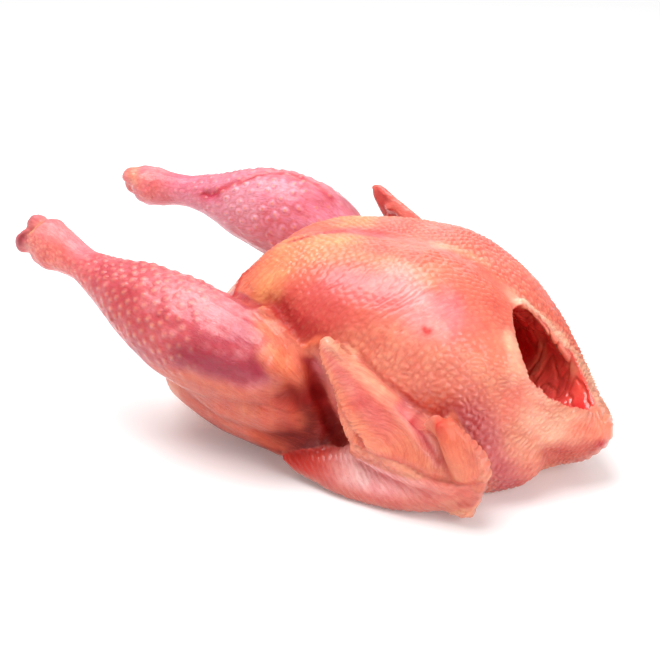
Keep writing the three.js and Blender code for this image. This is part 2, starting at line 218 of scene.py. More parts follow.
# Soft patches of colour, laid in this order: where they show, path, half width, colour, strength.
PATCHES_BOTH = (
    ("leg", ((-210, -74, 138), (-190, -74, 132)), 20, (250, 136, 124), 0.9),
    ("leg", ((-182, -76, 130), (-160, -80, 122)), 18, (238, 100, 92), 0.8),
    ("leg", ((-200, -72, 146), (-180, -72, 140), (-160, -76, 134)), 8, (250, 150, 158), 0.7),
    ("leg", ((-130, -104, 112), (-90, -112, 100), (-50, -122, 86)), 15, (206, 76, 86), 0.4),
    ("leg", ((-90, -92, 132), (-58, -96, 128), (-30, -100, 120)), 12, (244, 150, 156), 0.5),
    ("leg", ((-150, -78, 132), (-90, -92, 132), (-40, -100, 122)), 18, (232, 108, 122), 0.4),
    ("leg", ((-150, -60, 120), (-100, -52, 112), (-60, -50, 105)), 24, (236, 130, 142), 0.4),
    ("leg", ((-140, -88, 88), (-100, -94, 76), (-70, -98, 66)), 14, (190, 80, 84), 0.7),
    ("leg", ((-92, -114, 84), (-60, -121, 80)), 8, (192, 86, 100), 0.6),
    ("leg", ((-217, -66, 153), (-221, -68, 149)), 7, (208, 104, 112), 0.9),
    ("leg", ((-219, -84, 139), (-224, -80, 136)), 8, (188, 74, 88), 0.95),
    ("leg", ((-207, -62, 157), (-205, -70, 153), (-207, -76, 148)), 3.0, (224, 66, 62), 0.7),
    ("leg", ((-207, -66, 155), (-208, -74, 149), (-212, -80, 144)), 2.0, (250, 176, 112), 0.8),
    ("leg", ((-213, -78, 146), (-219, -84, 140), (-220, -87, 131)), 2.4, (140, 16, 22), 0.95),
    ("any", ((-8, -60, 132), (20, -72, 130), (48, -80, 122)), 17, (206, 54, 48), 0.7),
    ("any", ((-12, -70, 125), (6, -77, 122), (16, -83, 115), (32, -87, 111), (46, -88, 108)), 12,
     (176, 22, 22), 0.95),
    ("leg", ((-48, -124, 92), (-14, -121, 88), (14, -112, 90)), 13, (158, 26, 52), 1.0),
    ("any", ((12, -105, 101), (21, -105, 96), (27, -102, 88)), 8, (250, 140, 104), 0.85),
    ("any", ((30, -98, 82), (34, -99, 72), (30, -103, 60)), 10, (196, 50, 30), 1.0),
    ("any", ((10, -112, 66), (22, -110, 60), (28, -106, 50)), 9, (172, 60, 66), 0.55),
    ("thigh", ((-50, -110, 60), (-20, -116, 56), (10, -112, 50)), 15, (218, 98, 68), 0.8),
    # Painted shade: the dark of the gap between thigh and wing, laid down the thigh's front, along the
    # thigh's foot on the floor and into the gap itself.
    ("any", ((36, -99, 76), (42, -100, 60), (44, -99, 46), (42, -98, 30)), 13, (112, 14, 8), 0.95),
    ("any", ((18, -103, 42), (34, -102, 36), (44, -98, 24)), 15, (112, 8, 5), 0.95),
    ("thigh", ((-60, -84, 14), (-20, -90, 10), (20, -95, 10), (50, -92, 14)), 14, (138, 40, 28), 0.75),
    ("any", ((34, -92, 86), (45, -94, 70), (53, -92, 52), (60, -90, 36)), 8, (165, 6, 4), 1.0),
    ("any", ((56, -90, 44), (62, -88, 28), (62, -86, 14)), 11, (140, 5, 3), 1.0),
    ("any", ((46, -89, 96), (54, -90, 80), (61, -90, 64), (66, -89, 50)), 6.5, (196, 92, 92), 0.85),
    ("any", ((2, -94, 112), (18, -100, 98), (28, -97, 84)), 8, (250, 116, 84), 0.85),
    ("any", ((-30, -74, 110), (-6, -84, 114), (10, -90, 108), (24, -92, 98)), 6, (250, 128, 96), 0.85),
    ("any", ((-8, -80, 123), (-3, -84, 118), (2, -88, 112)), 2.6, (253, 150, 108), 0.9),
    ("any", ((2, -84, 116), (12, -86, 111), (20, -88, 105), (28, -90, 100)), 2.2, (253, 176, 160), 0.9),
    ("any", STAR_PATH, 3.0, (248, 112, 76), 0.9),
    ("any", ((27, -90, 99), (36, -89, 98), (46, -87, 101)), 3.2, (246, 128, 98), 0.85),
    ("any", ((4, -77, 123), (22, -81, 119), (36, -84, 116)), 8, (168, 16, 22), 0.75),
    ("body", ((-55, -44, 112), (-60, -40, 100), (-70, -40, 88)), 16, (246, 164, 122), 0.9),
    ("any", CUT_EDGE, 3.2, (206, 30, 22), 1.0),
    ("body", ((-14, -55, 139), (0, -40, 150), (20, -30, 156)), 22, (248, 158, 104), 0.9),
    ("body", ((5, -45, 149), (32, -46, 155), (80, -50, 154), (110, -52, 150)), 12, (248, 146, 100), 0.9),
    ("body", ((44, -66, 145), (84, -68, 145), (122, -58, 138), (115, -74, 130)), 17, (234, 106, 114), 0.75),
    ("body", ((36, -76, 132), (56, -82, 126), (72, -84, 120)), 14, (208, 66, 60), 0.7),
    ("body", ((70, -92, 100), (100, -88, 113), (130, -84, 100), (150, -72, 92)), 20, (232, 138, 108), 0.8),
    ("body", ((90, -88, 50), (120, -84, 60), (150, -76, 72)), 20, (220, 112, 86), 0.7),
    ("body", ((150, -80, 72), (160, -76, 55), (172, -70, 32), (176, -60, 14)), 17, (194, 76, 88), 0.85),
    ("body", ((190, -48, 58), (205, -34, 50), (218, -20, 45)), 14, (253, 188, 156), 0.9),
    ("body", ((205, -25, 20), (212, -11, 12)), 9, (190, 70, 52), 0.9),
    ("body", ((136, -82, 100), (148, -74, 92)), 14, (220, 108, 88), 0.6),
    # Painted highlights: two pale spots on the near breast where the lamp's broad sheen falls.
    ("body", ((86, -52, 155), (100, -58, 150)), 13, (246, 166, 162), 0.55),
    ("body", ((112, -68, 138), (124, -64, 134)), 13, (246, 160, 160), 0.6),
    ("body", ((213, -24, 50), (221, -14, 47)), 9, (238, 116, 84), 0.8),
    ("body", ((202, -38, 30), (212, -27, 30), (220, -14, 28)), 11, (198, 66, 48), 0.9),
)
PATCHES_ONCE = (
    ("body", ((226, -12, 46), (230, 4, 46)), 8, (250, 150, 112), 0.7),
    ("body", ((160, -38, 112), (170, -42, 94), (182, -40, 82), (196, -32, 72)), 7, (252, 184, 154), 0.8),
    ("body", ((5, -12, 157), (14, -3, 157), (28, 1, 158), (46, 1, 158)), 6.5, (214, 58, 58), 0.95),
    ("body", ((92, 2, 161), (111, 10, 157), (127, 10, 151)), 5, (253, 206, 162), 0.8),
    ("body", ((-12, -27, 153), (-3, -22, 155), (4, -15, 157)), 2.4, (196, 20, 20), 1.0),
    ("body", ((60, 24, 157), (90, 28, 158), (115, 36, 152), (138, 36, 141), (152, 42, 122)), 20,
     (248, 122, 108), 0.75),
    ("body", ((116, -77, 128), (118, -77, 125), (120, -76, 127)), 1.3, (214, 20, 20), 0.9),
    ("body", ((226, -14, 36), (230, -8, 34)), 3.6, (196, 16, 26), 1.0),
    ("leg", ((-200, 58, 146), (-144, 62, 146), (-84, 66, 142), (-30, 66, 130)), 42, (232, 142, 164), 0.95),
    ("leg", ((-223, 70, 144), (-206, 70, 141), (-192, 72, 140)), 18, (236, 122, 108), 0.9),
    ("leg", ((-212, 56, 148), (-216, 66, 156)), 6, (250, 176, 130), 0.7),
    ("leg", ((-144, 62, 143), (-132, 62, 146)), 4.5, (206, 36, 84), 0.95),
    ("leg", TENDON_PATH, 3.0, (206, 44, 70), 0.85),
    ("body", RIM_PATH, 9, (255, 200, 168), 0.95),
)
# Patches on the flesh of the hollow: path, half width, colour, strength.
HOLLOW_PATCHES = (
    (((150, 0, 60), (160, 10, 40), (190, 5, 38)), 26, (250, 100, 92), 0.8),
    (((120, 10, 80), (140, 34, 95), (150, 38, 105), (152, 36, 80)), 20, (226, 8, 3), 0.9),
    (((163, 30, 98), (166, 32, 84), (167, 33, 72), (160, 30, 60)), 5, (253, 136, 104), 0.9),
    (((164, 16, 108), (175, 25, 92), (184, 28, 78), (195, 22, 66), (208, 10, 58)), 5, (250, 110, 92), 0.85),
    (((186, 10, 42), (198, 2, 44), (208, -4, 50)), 9, (215, 20, 34), 0.85),
    (RIM_PATH, 4.5, (253, 160, 126), 0.95),
)
# Strips on the wings, laid before the forearm's colour and after it: path, half width, colour, strength.
STRIPS_BEFORE = (
    (GROOVE_PATH[1:], 3.6, (251, 156, 162), 0.9),
    (CORD_PATH, 2.4, (253, 176, 140), 0.8),
    (GROOVE_PATH[2:], 1.7, (198, 22, 38), 0.8),
    (BEND_PATH, 3.0, (206, 66, 66), 0.6),
)
STRIPS_AFTER = (
    (THUMB_SKIN[:3], 9.5, (222, 80, 56), 0.75),
    (THUMB_SKIN[2:], 7.0, (240, 128, 102), 0.5),
    (EDGE_NICK, 1.3, (196, 20, 26), 0.9),
)
# Skin that lies in shelter has less of a wet film: path, half width, share.
DULL_PATHS = (
    (((36, -91, 90), (46, -92, 74), (55, -91, 55), (61, -90, 36), (62, -86, 16)), 10, 1.0),
    (((34, -100, 66), (34, -101, 44), (10, -102, 26)), 20, 0.9),
    (((-8, -68, 126), (20, -82, 116), (44, -86, 112)), 15, 0.7),
    (((20, -104, 94), (28, -99, 84)), 12, 0.6),
    (THUMB_LOBE, 12, 0.7),
    (((-214, -72, 146), (-190, -72, 142), (-160, -76, 134)), 15, 0.5),
)

# ---- patterns of the skin, in metres -------------------------------------------------------------
# Length along the curved skin of the body, at each place along X.
BODY_X = (
    -0.115, -0.100, -0.082, -0.055, -0.020, 0.100, 0.132, 0.156, 0.175, 0.191, 0.206, 0.218, 0.226, 0.232,
)
BODY_RUN = (
    -0.135, -0.114, -0.090, -0.057, -0.020, 0.100, 0.134, 0.160, 0.182, 0.205, 0.228, 0.245, 0.258, 0.273,
)
# Rows of follicles counted from the keel, at each distance round the body.
ARC = (0.0, 0.045, 0.090, 0.140, 0.240)
ARC_ROWS = (0.0, 10.5, 20.5, 31.0, 50.0)
ROW_GAP = 0.0056
# Gap between the follicles of a drumstick, at each distance along it.
LEG_STOPS = (0, 0.025, 0.055, 0.085, 0.125, 0.170, 0.260)
LEG_GAPS = (0.0044, 0.0046, 0.0054, 0.0066, 0.0082, 0.0092, 0.0098)
FLANK_SLANT = math.radians(52)
QUILL_LEAN, QUILL_BEND = 0.35, 0.05  # how the quills sweep back as they near the trailing edge
ARM_SLANT = 0.9  # rise of a forearm's wrinkles for each step along it
# Width and length of a wrinkle.
FLANK_WRINKLE = (0.0042, 0.032)
THIGH_WRINKLE = (0.0032, 0.030)
LEG_WRINKLE = (0.0045, 0.022)
QUILL_WRINKLE = (0.0034, 0.024)
ARM_WRINKLE = (0.0050, 0.026)
SPREAD = 0.05  # distance over which a pattern that runs along the skin changes with depth
QUILL_GAP, ARM_FOLD_GAP = 0.0033, 0.0056
HOLLOW_FOLD = (0.014, 0.014, 0.030)  # width, depth and height of a fold in the flesh of the hollows
ON_LIMB = 1.25  # closeness below which a vertex carries a limb's pattern, so that it runs on past the edge
BODY_AXIS = 0.070  # height of the line about which distances round the body are measured
BODY_GIRTH = 0.085  # radius that turns an angle about that line into a distance

# ---- smoothing and cutting -----------------------------------------------------------------------
WELD = 0.00002  # corners of the solid that are nearer than this are joined
DRAW_IN, PUSH_OUT = 0.55, -0.57  # shares of the way to the neighbours' middle
RELAX_ROUNDS = 40
# Painted shade in the folds of the skin: how far smoothing lifts a vertex sets how dark it is painted.
SUNK_ROUNDS, SUNK_FULL = 16, 0.0009  # a vertex that smoothing lifts by so much gets the full dark of a fold
DRAWN_BACK = 0.88  # share by which skin beyond the left wing's leading edge is drawn back
HOLLOW_EDGE = 1.08  # closeness below which skin that faces a hollow's middle belongs to it
PIECE_EDGE = 1.12  # closeness at which a limb's piece ends
BREAST_EDGE = 0.090  # height at which the breast's pieces meet the back's, lower towards the neck
NECK_START, EDGE_DROP = 0.10, 0.12


# ---- small helpers -------------------------------------------------------------------------------
def ease(low, high, value):
    """Smooth step from 0 at low to 1 at high."""
    t = np.clip((value - low) / (high - low), 0, 1)
    return t * t * (3 - 2 * t)


def fade(low, high, value):
    """Smooth step from 1 at low to 0 at high."""
    return 1 - ease(low, high, value)


def between(value, start, full, late, end):
    """0 before start, 1 from full to late, and 0 again after end."""
    return ease(start, full, value) * fade(late, end, value)


def falloff(gap, width, power=2):
    """1 where there is no gap, falling away over a width."""
    return np.exp(-((np.abs(gap) / width) ** power))


def unit(vectors):
    """The same vectors at length one."""
    return vectors / np.maximum(np.linalg.norm(vectors, axis=-1, keepdims=True), 1e-12)


def noise(places, cell, seed=0):
    """Smooth random values from -1 to 1 that change over a distance of one cell."""
    scaled = places / cell
    base = np.floor(scaled).astype(np.int64)
    part = scaled - base
    part = part * part * part * (part * (part * 6 - 15) + 10)
    total = np.zeros(len(places))
    for corner in range(8):
        bits = np.array([corner & 1, corner >> 1 & 1, corner >> 2 & 1])
        # Large primes scatter the cell's three numbers and the seed over all values.
        stirred = (base + bits) * (73856093, 19349663, 83492791)
        mixed = stirred[:, 0] ^ stirred[:, 1] ^ stirred[:, 2] ^ (seed * 2654435761)
        mixed = (mixed ^ (mixed >> 13)) * 1274126177 & 0x7FFFFFFF
        mixed = (mixed ^ (mixed >> 16)) & 0xFFFF
        share = np.where(bits, part, 1 - part).prod(axis=1)
        total += share * (mixed / 32767.5 - 1)
    return total


def rough(places, cell, seed=0, octaves=3):
    """Noise with finer and weaker noise added to it."""
    total = np.zeros(len(places))
    for octave in range(octaves):
        total += noise(places, cell / 2**octave, seed + 17 * octave) / 2**octave
    return total


Near = namedtuple("Near", "gap along spot ahead reach")


def nearest(places, path, radius=None):
    """Where a path given in millimetres comes nearest to each place.

    The result holds the distance, how far along the path it is, and the path's point, direction and radius.
    """
    path = np.array(path, float) * MM
    radius = np.ones(len(path)) if radius is None else np.array(radius, float) * MM
    near = Near(
        np.full(len(places), np.inf), np.zeros(len(places)), np.zeros((len(places), 3)),
        np.zeros((len(places), 3)), np.ones(len(places)),
    )
    travelled = 0.0
    for i in range(len(path) - 1):
        step = path[i + 1] - path[i]
        length = np.linalg.norm(step)
        t = np.clip((places - path[i]) @ step / length**2, 0, 1)
        point = path[i] + t[:, None] * step
        gap = np.linalg.norm(places - point, axis=1)
        closer = gap < near.gap
        near.gap[closer] = gap[closer]
        near.along[closer] = travelled + t[closer] * length
        near.spot[closer] = point[closer]
        near.ahead[closer] = step / length
        near.reach[closer] = (radius[i] + t * (radius[i + 1] - radius[i]))[closer]
        travelled += length
    return near


def closeness(places, path, radius):
    """Distance from a limb's middle as a share of the limb's radius there."""
    near = nearest(places, path, radius)
    return near.gap / near.reach


FIELDS = {"FLOAT": ("value", 1), "FLOAT_VECTOR": ("vector", 3), "FLOAT_COLOR": ("color", 4)}


def read(mesh, name):
    """The place, the normal or a stored value of every vertex."""
    if name == "place":
        data, field, size = mesh.vertices, "co", 3
    elif name == "normal":
        data, field, size = mesh.vertex_normals, "vector", 3
    else:
        data = mesh.attributes[name].data
        field, size = FIELDS[mesh.attributes[name].data_type]
    values = np.empty(len(data) * size, np.float32)
    data.foreach_get(field, values)
    values = values.astype(float)
    return values if size == 1 else values.reshape(-1, size)


def place(mesh, points):
    """Moves the vertices of a mesh."""
    mesh.vertices.foreach_set("co", np.ascontiguousarray(points, np.float32).ravel())
    mesh.update()


def keep(mesh, name, values, kind="FLOAT"):
    """Stores a value for each vertex: a number, a vector or a colour."""
    layer = mesh.attributes.get(name) or mesh.attributes.new(name, kind, "POINT")
    if kind == "FLOAT_COLOR":
        values = np.column_stack([values[:, :3], np.ones(len(values))])
    layer.data.foreach_set(FIELDS[kind][0], np.ascontiguousarray(values, np.float32).ravel())


def corners_of(mesh):
    """The four vertices of every face."""
    corners = np.empty(len(mesh.loops), np.int32)
    mesh.loops.foreach_get("vertex_index", corners)
    return corners.reshape(-1, 4)


def edges_of(mesh):
    """The two vertices of every edge."""
    pairs = np.empty(len(mesh.edges) * 2, np.int32)
    mesh.edges.foreach_get("vertices", pairs)
    return pairs.reshape(-1, 2)


def add_object(name, data):
    """A new object in the scene."""
    thing = bpy.data.objects.new(name, data)
    bpy.context.scene.collection.objects.link(thing)
    return thing


def plain(thing):
    """Puts every modifier of an object into its mesh."""
    bpy.context.view_layer.update()
    seen = thing.evaluated_get(bpy.context.evaluated_depsgraph_get())
    mesh = bpy.data.meshes.new_from_object(seen)
    thing.modifiers.clear()
    old = thing.data
    thing.data = mesh
    bpy.data.meshes.remove(old)
    return mesh


def linear(red, green, blue):
    """Linear colour from the usual 0-255 values."""
    values = np.array([red, green, blue]) / 255
    return np.where(values <= 0.04045, values / 12.92, ((values + 0.055) / 1.055) ** 2.4)


# ---- the body ------------------------------------------------------------------------------------
def neighbours_middle(points, edges):
    """For each vertex: the middle of the vertices that it shares an edge with."""
    a, b = edges.T
    count = len(points)
    links = np.bincount(a, minlength=count) + np.bincount(b, minlength=count)
    sums = [np.bincount(a, points[b, k], count) + np.bincount(b, points[a, k], count) for k in range(3)]
    return np.stack(sums, axis=1) / links[:, None]


def relax(points, edges, strength, rounds):
    """Smooths facets away without shrinking: each round pulls the vertices together and pushes them back."""
    for _ in range(rounds):
        for pull in (DRAW_IN, PUSH_OUT):
            points = points + (strength * pull)[:, None] * (neighbours_middle(points, edges) - points)
    return points


def smooth(points, edges, rounds):
    """Pulls vertices to their neighbours' middle again and again."""
    for _ in range(rounds):
        points = 0.4 * points + 0.6 * neighbours_middle(points, edges)
    return points


def mirrored(path):
    """The same path on the other side of the bird."""
    return tuple((x, -y, z) for x, y, z in path)


def on_wing(path, side):
    """A path on a wing, given for the left one."""
    return np.array(path, float) if side == LEFT else np.array(mirrored(path), float) + WING_SHIFT


def side_view(points, side):
    """Points pressed flat on a plane beside the bird, where a line on a wing is found whatever its depth."""
    flat = points.copy()
    flat[:, 1] = side * SIDE_PLANE * MM
    return flat


def wing_line(path, side):
    """A line on a wing, given for the left one and pressed flat in the same way."""
    line = on_wing(path, side)
    line[:, 1] = side * SIDE_PLANE
    return line


def wing_edge(points, side):
    """Where each vertex lies at a wing's leading edge, in the side view.

    Gives the distance outside the edge, the share of the way from tip to thumb, and that way's direction.
    """
    start, end = on_wing(LEADING_EDGE, side)[:, [0, 2]] * MM
    length = np.linalg.norm(end - start)
    ahead = (end - start) / length
    x, z = (points[:, [0, 2]] - start).T
    return z * ahead[0] - x * ahead[1], (x * ahead[0] + z * ahead[1]) / length, ahead


def flank_width(points):
    """Half width of the body at each vertex's length and height, beside the wings."""
    x, z = points[:, 0] / MM, points[:, 2] / MM
    return (93.5 - 0.0075 * np.maximum(z - 90, 0) ** 2 - 0.0035 * np.maximum(x - 85, 0) ** 2) * MM


def narrow_wing(points):
    """Draws the left wing's leading edge back, so that the body shows beside it."""
    points = points.copy()
    beyond, share, ahead = wing_edge(points, LEFT)
    move = ease(0.0005, 0.002, points[:, 1] * LEFT - flank_width(points))
    move *= fade(1.25, 1.5, closeness(points, HAND_PATH[LEFT], HAND_RADIUS))
    move *= ease(0.009, 0.014, nearest(points, THUMB_SKIN).gap) * fade(0.95, 1.05, share)
    back = DRAWN_BACK * move * np.maximum(beyond, 0)
    points[:, 0] += back * ahead[1]
    points[:, 2] -= back * ahead[0]
    return points


def hand_closeness(points, side):
    """How near each vertex is to an outer wing with its web and thumb, apart from the body and forearm."""
    near = np.minimum.reduce([
        closeness(points, HAND_PATH[side], HAND_RADIUS),
        closeness(points, on_wing(WEB_PATH, side), WEB_RADIUS),
        closeness(points, on_wing(THUMB_SKIN, side), THUMB_SKIN_RADIUS),
    ])
    if side == LEFT:
        beyond, share, _ = wing_edge(points, side)
        low = (points[:, 1] * side < flank_width(points) + 0.004) & (share < 1.0)
        near += 2.0 * low * ease(0.002, 0.004, beyond) * ease(0.008, 0.011, nearest(points, THUMB_SKIN).gap)
    bend = on_wing(BEND_PATH, side) * MM
    below = np.interp(points[:, 0], bend[:, 0], bend[:, 2]) - points[:, 2]
    return near + ease(0.0, 0.002, below) * (points[:, 0] < bend[-1, 0] + 0.004)


def regions(points, normals):
    """How near each vertex is to each part of the bird: below 1 it belongs to it."""
    part = {}
    for side, tag in SIDES:
        outer_thigh = THIGH_SIDE if side == LEFT else mirrored(THIGH_SIDE)
        part[f"leg_{tag}"] = closeness(points, LEG_PATH[side], LEG_RADIUS)
        part[f"thigh_{tag}"] = np.minimum(
            closeness(points, THIGH_PATH[side], THIGH_RADIUS),
            closeness(points, outer_thigh, THIGH_SIDE_RADIUS),
        )
        part[f"hand_{tag}"] = hand_closeness(points, side)
        part[f"forearm_{tag}"] = closeness(points, FOREARM_PATH[side], FOREARM_RADIUS[side])
        thumb = closeness(points, THUMB_PATH[side], THUMB_RADIUS)
        part[f"wing_{tag}"] = np.minimum.reduce([part[f"hand_{tag}"], thumb, part[f"forearm_{tag}"]])
    inside = closeness(points, CORE_PATH, CORE_RADIUS) < 1
    for name, path, radius in (("hollow", HOLLOW_PATH, HOLLOW_RADIUS), ("vent", VENT_PATH, VENT_RADIUS)):
        near = nearest(points, path, radius)
        part[name] = near.gap / near.reach
        facing_in = ((near.spot - points) * normals).sum(1) > 0.30 * near.gap
        inside |= (part[name] < HOLLOW_EDGE) & facing_in
    part["inside"] = inside
    for name in ("leg", "thigh", "wing"):
        part[name] = np.minimum(part[f"{name}_left"], part[f"{name}_right"])
    return part


def lump(path, radii):
    """Closed balls laid along a path, close enough to fuse when the body is remeshed."""
    path = np.array(path, float)
    made = bmesh.new()
    for i in range(len(path) - 1):
        spacing = 0.45 * min(radii[i], radii[i + 1])
        steps = max(2, int(np.linalg.norm(path[i + 1] - path[i]) / spacing))
        last = i == len(path) - 2
        for k in range(steps + last):
            t = k / steps
            size = (radii[i] + t * (radii[i + 1] - radii[i])) * MM
            spot = Matrix.Translation(Vector((path[i] + t * (path[i + 1] - path[i])) * MM))
            bmesh.ops.create_icosphere(made, subdivisions=2, radius=size, matrix=spot)
    mesh = bpy.data.meshes.new("lump")
    made.to_mesh(mesh)
    made.free()
    return mesh


def left_places(points, part):
    """Each place as if it were on the bird's left side, with the right leg laid over the left one."""
    right = points[:, 1] > 0
    moved = points * np.where(right, -1.0, 1.0)[:, None] ** np.array([0, 1, 0])
    share = fade(1.15, 1.5, np.minimum(part["leg_right"], part["thigh_right"] + 0.15)) * right
    start, end = np.array([LEG_PATH[RIGHT][0], LEG_PATH[RIGHT][-1]]) * MM
    goal_start, goal_end = np.array([LEG_PATH[LEFT][0], LEG_PATH[LEFT][-1]]) * MM
    run = end - start
    t = np.clip((points - start) @ run / (run @ run), -0.1, 1.3)[:, None]
    here = start + t * run
    there = goal_start + t * (goal_end - goal_start)
    return moved + share[:, None] * (there + (points - here) * np.array([1, -1, 1]) - moved)


def remesh(body, step):
    """Gives an object one closed skin of even squares."""
    even = body.modifiers.new("even", "REMESH")
    even.mode = "VOXEL"
    even.voxel_size = step
    return plain(body)


def grow_body(settings):
    """Turns the faceted solid and its lumps into one smooth, even skin."""
    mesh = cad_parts["turkey"].data.copy()
    body = add_object("bird_body", mesh)
    clay = bmesh.new()
    clay.from_mesh(mesh)
    bmesh.ops.remove_doubles(clay, verts=clay.verts, dist=WELD)
    for _, path, radii in LUMPS_BOTH:
        clay.from_mesh(lump(path, radii))
        clay.from_mesh(lump(mirrored(path), radii))
    for _, path, radii in LUMPS_ONCE:
        clay.from_mesh(lump(path, radii))
    for _, path, radii in LUMPS_WING:
        for side in (LEFT, RIGHT):
            clay.from_mesh(lump(on_wing(path, side), radii))
    clay.to_mesh(mesh)
    clay.free()
    mesh = remesh(body, 2 * settings.skin_step)
    place(mesh, narrow_wing(read(mesh, "place")))
    mesh = remesh(body, 2 * settings.skin_step)
    points = read(mesh, "place")
    part = regions(points, read(mesh, "normal"))
    strength = 0.25 + 0.75 * ease(1.0, 1.25, part["wing"])
    strength *= np.where(part["inside"], 0.5, 1.0)
    place(mesh, relax(points, edges_of(mesh), strength, RELAX_ROUNDS))
    return body


def fold(points, path, width, rise):
    """Height that a fold adds at each point, fading out at the ends of its path."""
    near = nearest(points, path)
    length = np.linalg.norm(np.diff(np.array(path, float), axis=0), axis=1).sum() * MM
    return rise * MM * falloff(near.gap, width * MM) * between(near.along / length, 0, 0.3, 0.7, 1)


def leg_turn(points, side):
    """How far along the drumstick each point lies, its angle round it, and the leg's radius there."""
    near = nearest(points, LEG_PATH[side], LEG_RADIUS)
    outward = unit(points - near.spot)
    upward = unit(np.array([0, 0, 1.0]) - near.ahead * near.ahead[:, 2:3])
    sideways = np.cross(near.ahead, upward)
    turn = np.arctan2((outward * sideways).sum(1), (outward * upward).sum(1))
    return near.along, turn, near.reach


def wing_place(points, side):
    """Place of each point on an outer wing.

    Gives the distance from the wrist, the share of the way to the trailing edge, that way's direction, and
    the wing's half width.
    """
    near = nearest(points, HAND_PATH[side], HAND_RADIUS)
    face = np.array([0.12, 0.86 * side, 0.5])  # the way that the wing's broad side looks
    across = unit(np.cross(np.tile(face, (len(points), 1)), near.ahead)) * -side
    return near.along, ((points - near.spot) * across).sum(1) / near.reach, across, near.reach


def quill_run(points, side, along):
    """Distance along an outer wing, bent as the quills sweep back, and distance from the trailing edge."""
    web = on_wing(WEB_PATH, side)
    trail = np.minimum(nearest(points, web[:4]).gap, nearest(points, (HAND_PATH[side][-1], web[0])).gap)
    return along + QUILL_LEAN * trail + trail**2 / QUILL_BEND, trail


def arm_slant(points, side):
    """Distances across and along the slanting wrinkles of a forearm."""
    near = nearest(points, FOREARM_PATH[side], FOREARM_RADIUS[side])
    height = points[:, 2] - near.spot[:, 2]
    return near.along + ARM_SLANT * height, height - ARM_SLANT * near.along


# ---- patterns of the skin ------------------------------------------------------------------------
def crossed(u, v):
    """Places in rows that cross each other slantwise."""
    return np.stack([(u + v) * 0.7071, (u - v) * 0.7071, 0 * u], axis=1)


def leg_rows(points, side):
    """Places in a drumstick's rows of follicles, and how far their domes stand out."""
    along, turn, reach = leg_turn(points, side)
    ruler = np.linspace(0, 0.27, 200)
    wider = 1 + 0.25 * (side == RIGHT) * ease(0.06, 0.10, ruler)
    counted = np.cumsum(1 / (np.interp(ruler, LEG_STOPS, LEG_GAPS) * wider)) * (ruler[1] - ruler[0])
    gap = np.interp(along, LEG_STOPS, LEG_GAPS) * (1.2 if side == RIGHT else 1.0)
    up = np.cos(turn)
    seen = ease(-0.75, -0.25, up) * between(along, 0.0, 0.006, 0.150, 0.205)
    seen *= 1 - ease(0.35, 0.8, up) * fade(0.045, 0.075, along)
    rise = 1.05 - 0.3 * ease(0.03, 0.06, along) + 0.3 * ease(0.06, 0.12, along)
    rise *= seen * (1 + 0.3 * noise(points, 0.012, 8)) * (0.95 if side == RIGHT else 1.0)
    return crossed(np.interp(along, ruler, counted), turn * reach / gap), rise


def lay_rows(mesh, points, part, around, run):
    """Gives each point its place in the rows of feather follicles, and how high they stand there."""
    x, y, z = points.T
    loose = 0.12 + 0.3 * ease(0.06, 0.10, around)
    rows = crossed(
        run / ROW_GAP + 0.6 * noise(points, 0.03, 5) + loose * noise(points, 0.007, 6),
        np.interp(around, ARC, ARC_ROWS) + 0.6 * noise(points, 0.03, 15) + loose * noise(points, 0.008, 16),
    )
    beside_keel = between(around, 0.004, 0.014, 0.046, 0.062) * ease(-0.100, -0.070, x)
    low_on_side = ease(0.078, 0.105, around) * between(x, 0.030, 0.080, 0.185, 0.215)
    neck = ease(0.165, 0.200, x)
    cobble = 0.20 + 0.70 * beside_keel + low_on_side + 0.8 * neck
    cobble *= 0.85 + 0.45 * noise(points, 0.02, 7)
    dome = np.zeros(len(points))
    for side, tag in SIDES:
        leg = part[f"leg_{tag}"]
        here = (leg < ON_LIMB) & (leg < part[f"thigh_{tag}"] + 0.1)
        rows[here], rise = leg_rows(points[here], side)
        share = fade(1.08, 1.22, leg[here])
        dome[here] = rise * share
        cobble[here] *= 1 - share
    cobble *= 0.2 + 0.8 * ease(1.05, 1.2, part["thigh"])
    far_neck = ease(0.155, 0.175, x) * ease(-0.002, 0.010, y) * ease(0.02, 0.05, z)
    far_side = ease(0.0, 0.012, y) * ease(0.030, 0.060, x) * ease(0.095, 0.120, z)
    off_limbs = ease(1.12, 1.3, np.minimum.reduce([part["leg"], part["thigh"], part["wing"]]))
    breast_side = off_limbs * between(around, 0.045, 0.06, 0.10, 0.12)
    dome = np.maximum.reduce([dome, 1.1 * far_neck, 0.55 * far_side, 0.16 * breast_side])
    clear = ease(1.05, 1.25, part["wing"]) * ~part["inside"] * MM
    keep(mesh, "row_place", rows, "FLOAT_VECTOR")
    keep(mesh, "dome_size", np.where(part["leg_right"] < ON_LIMB, 0.68, 1.0))
    keep(mesh, "dome_rise", dome * clear)
    keep(mesh, "cobble_rise", cobble * clear)


def wrinkle_place(across, along, size, layer=0):
    """Places in a pattern of wrinkles of this width and length."""
    return np.stack([across / size[0], along / size[1], np.full(len(across), float(layer))], axis=1)


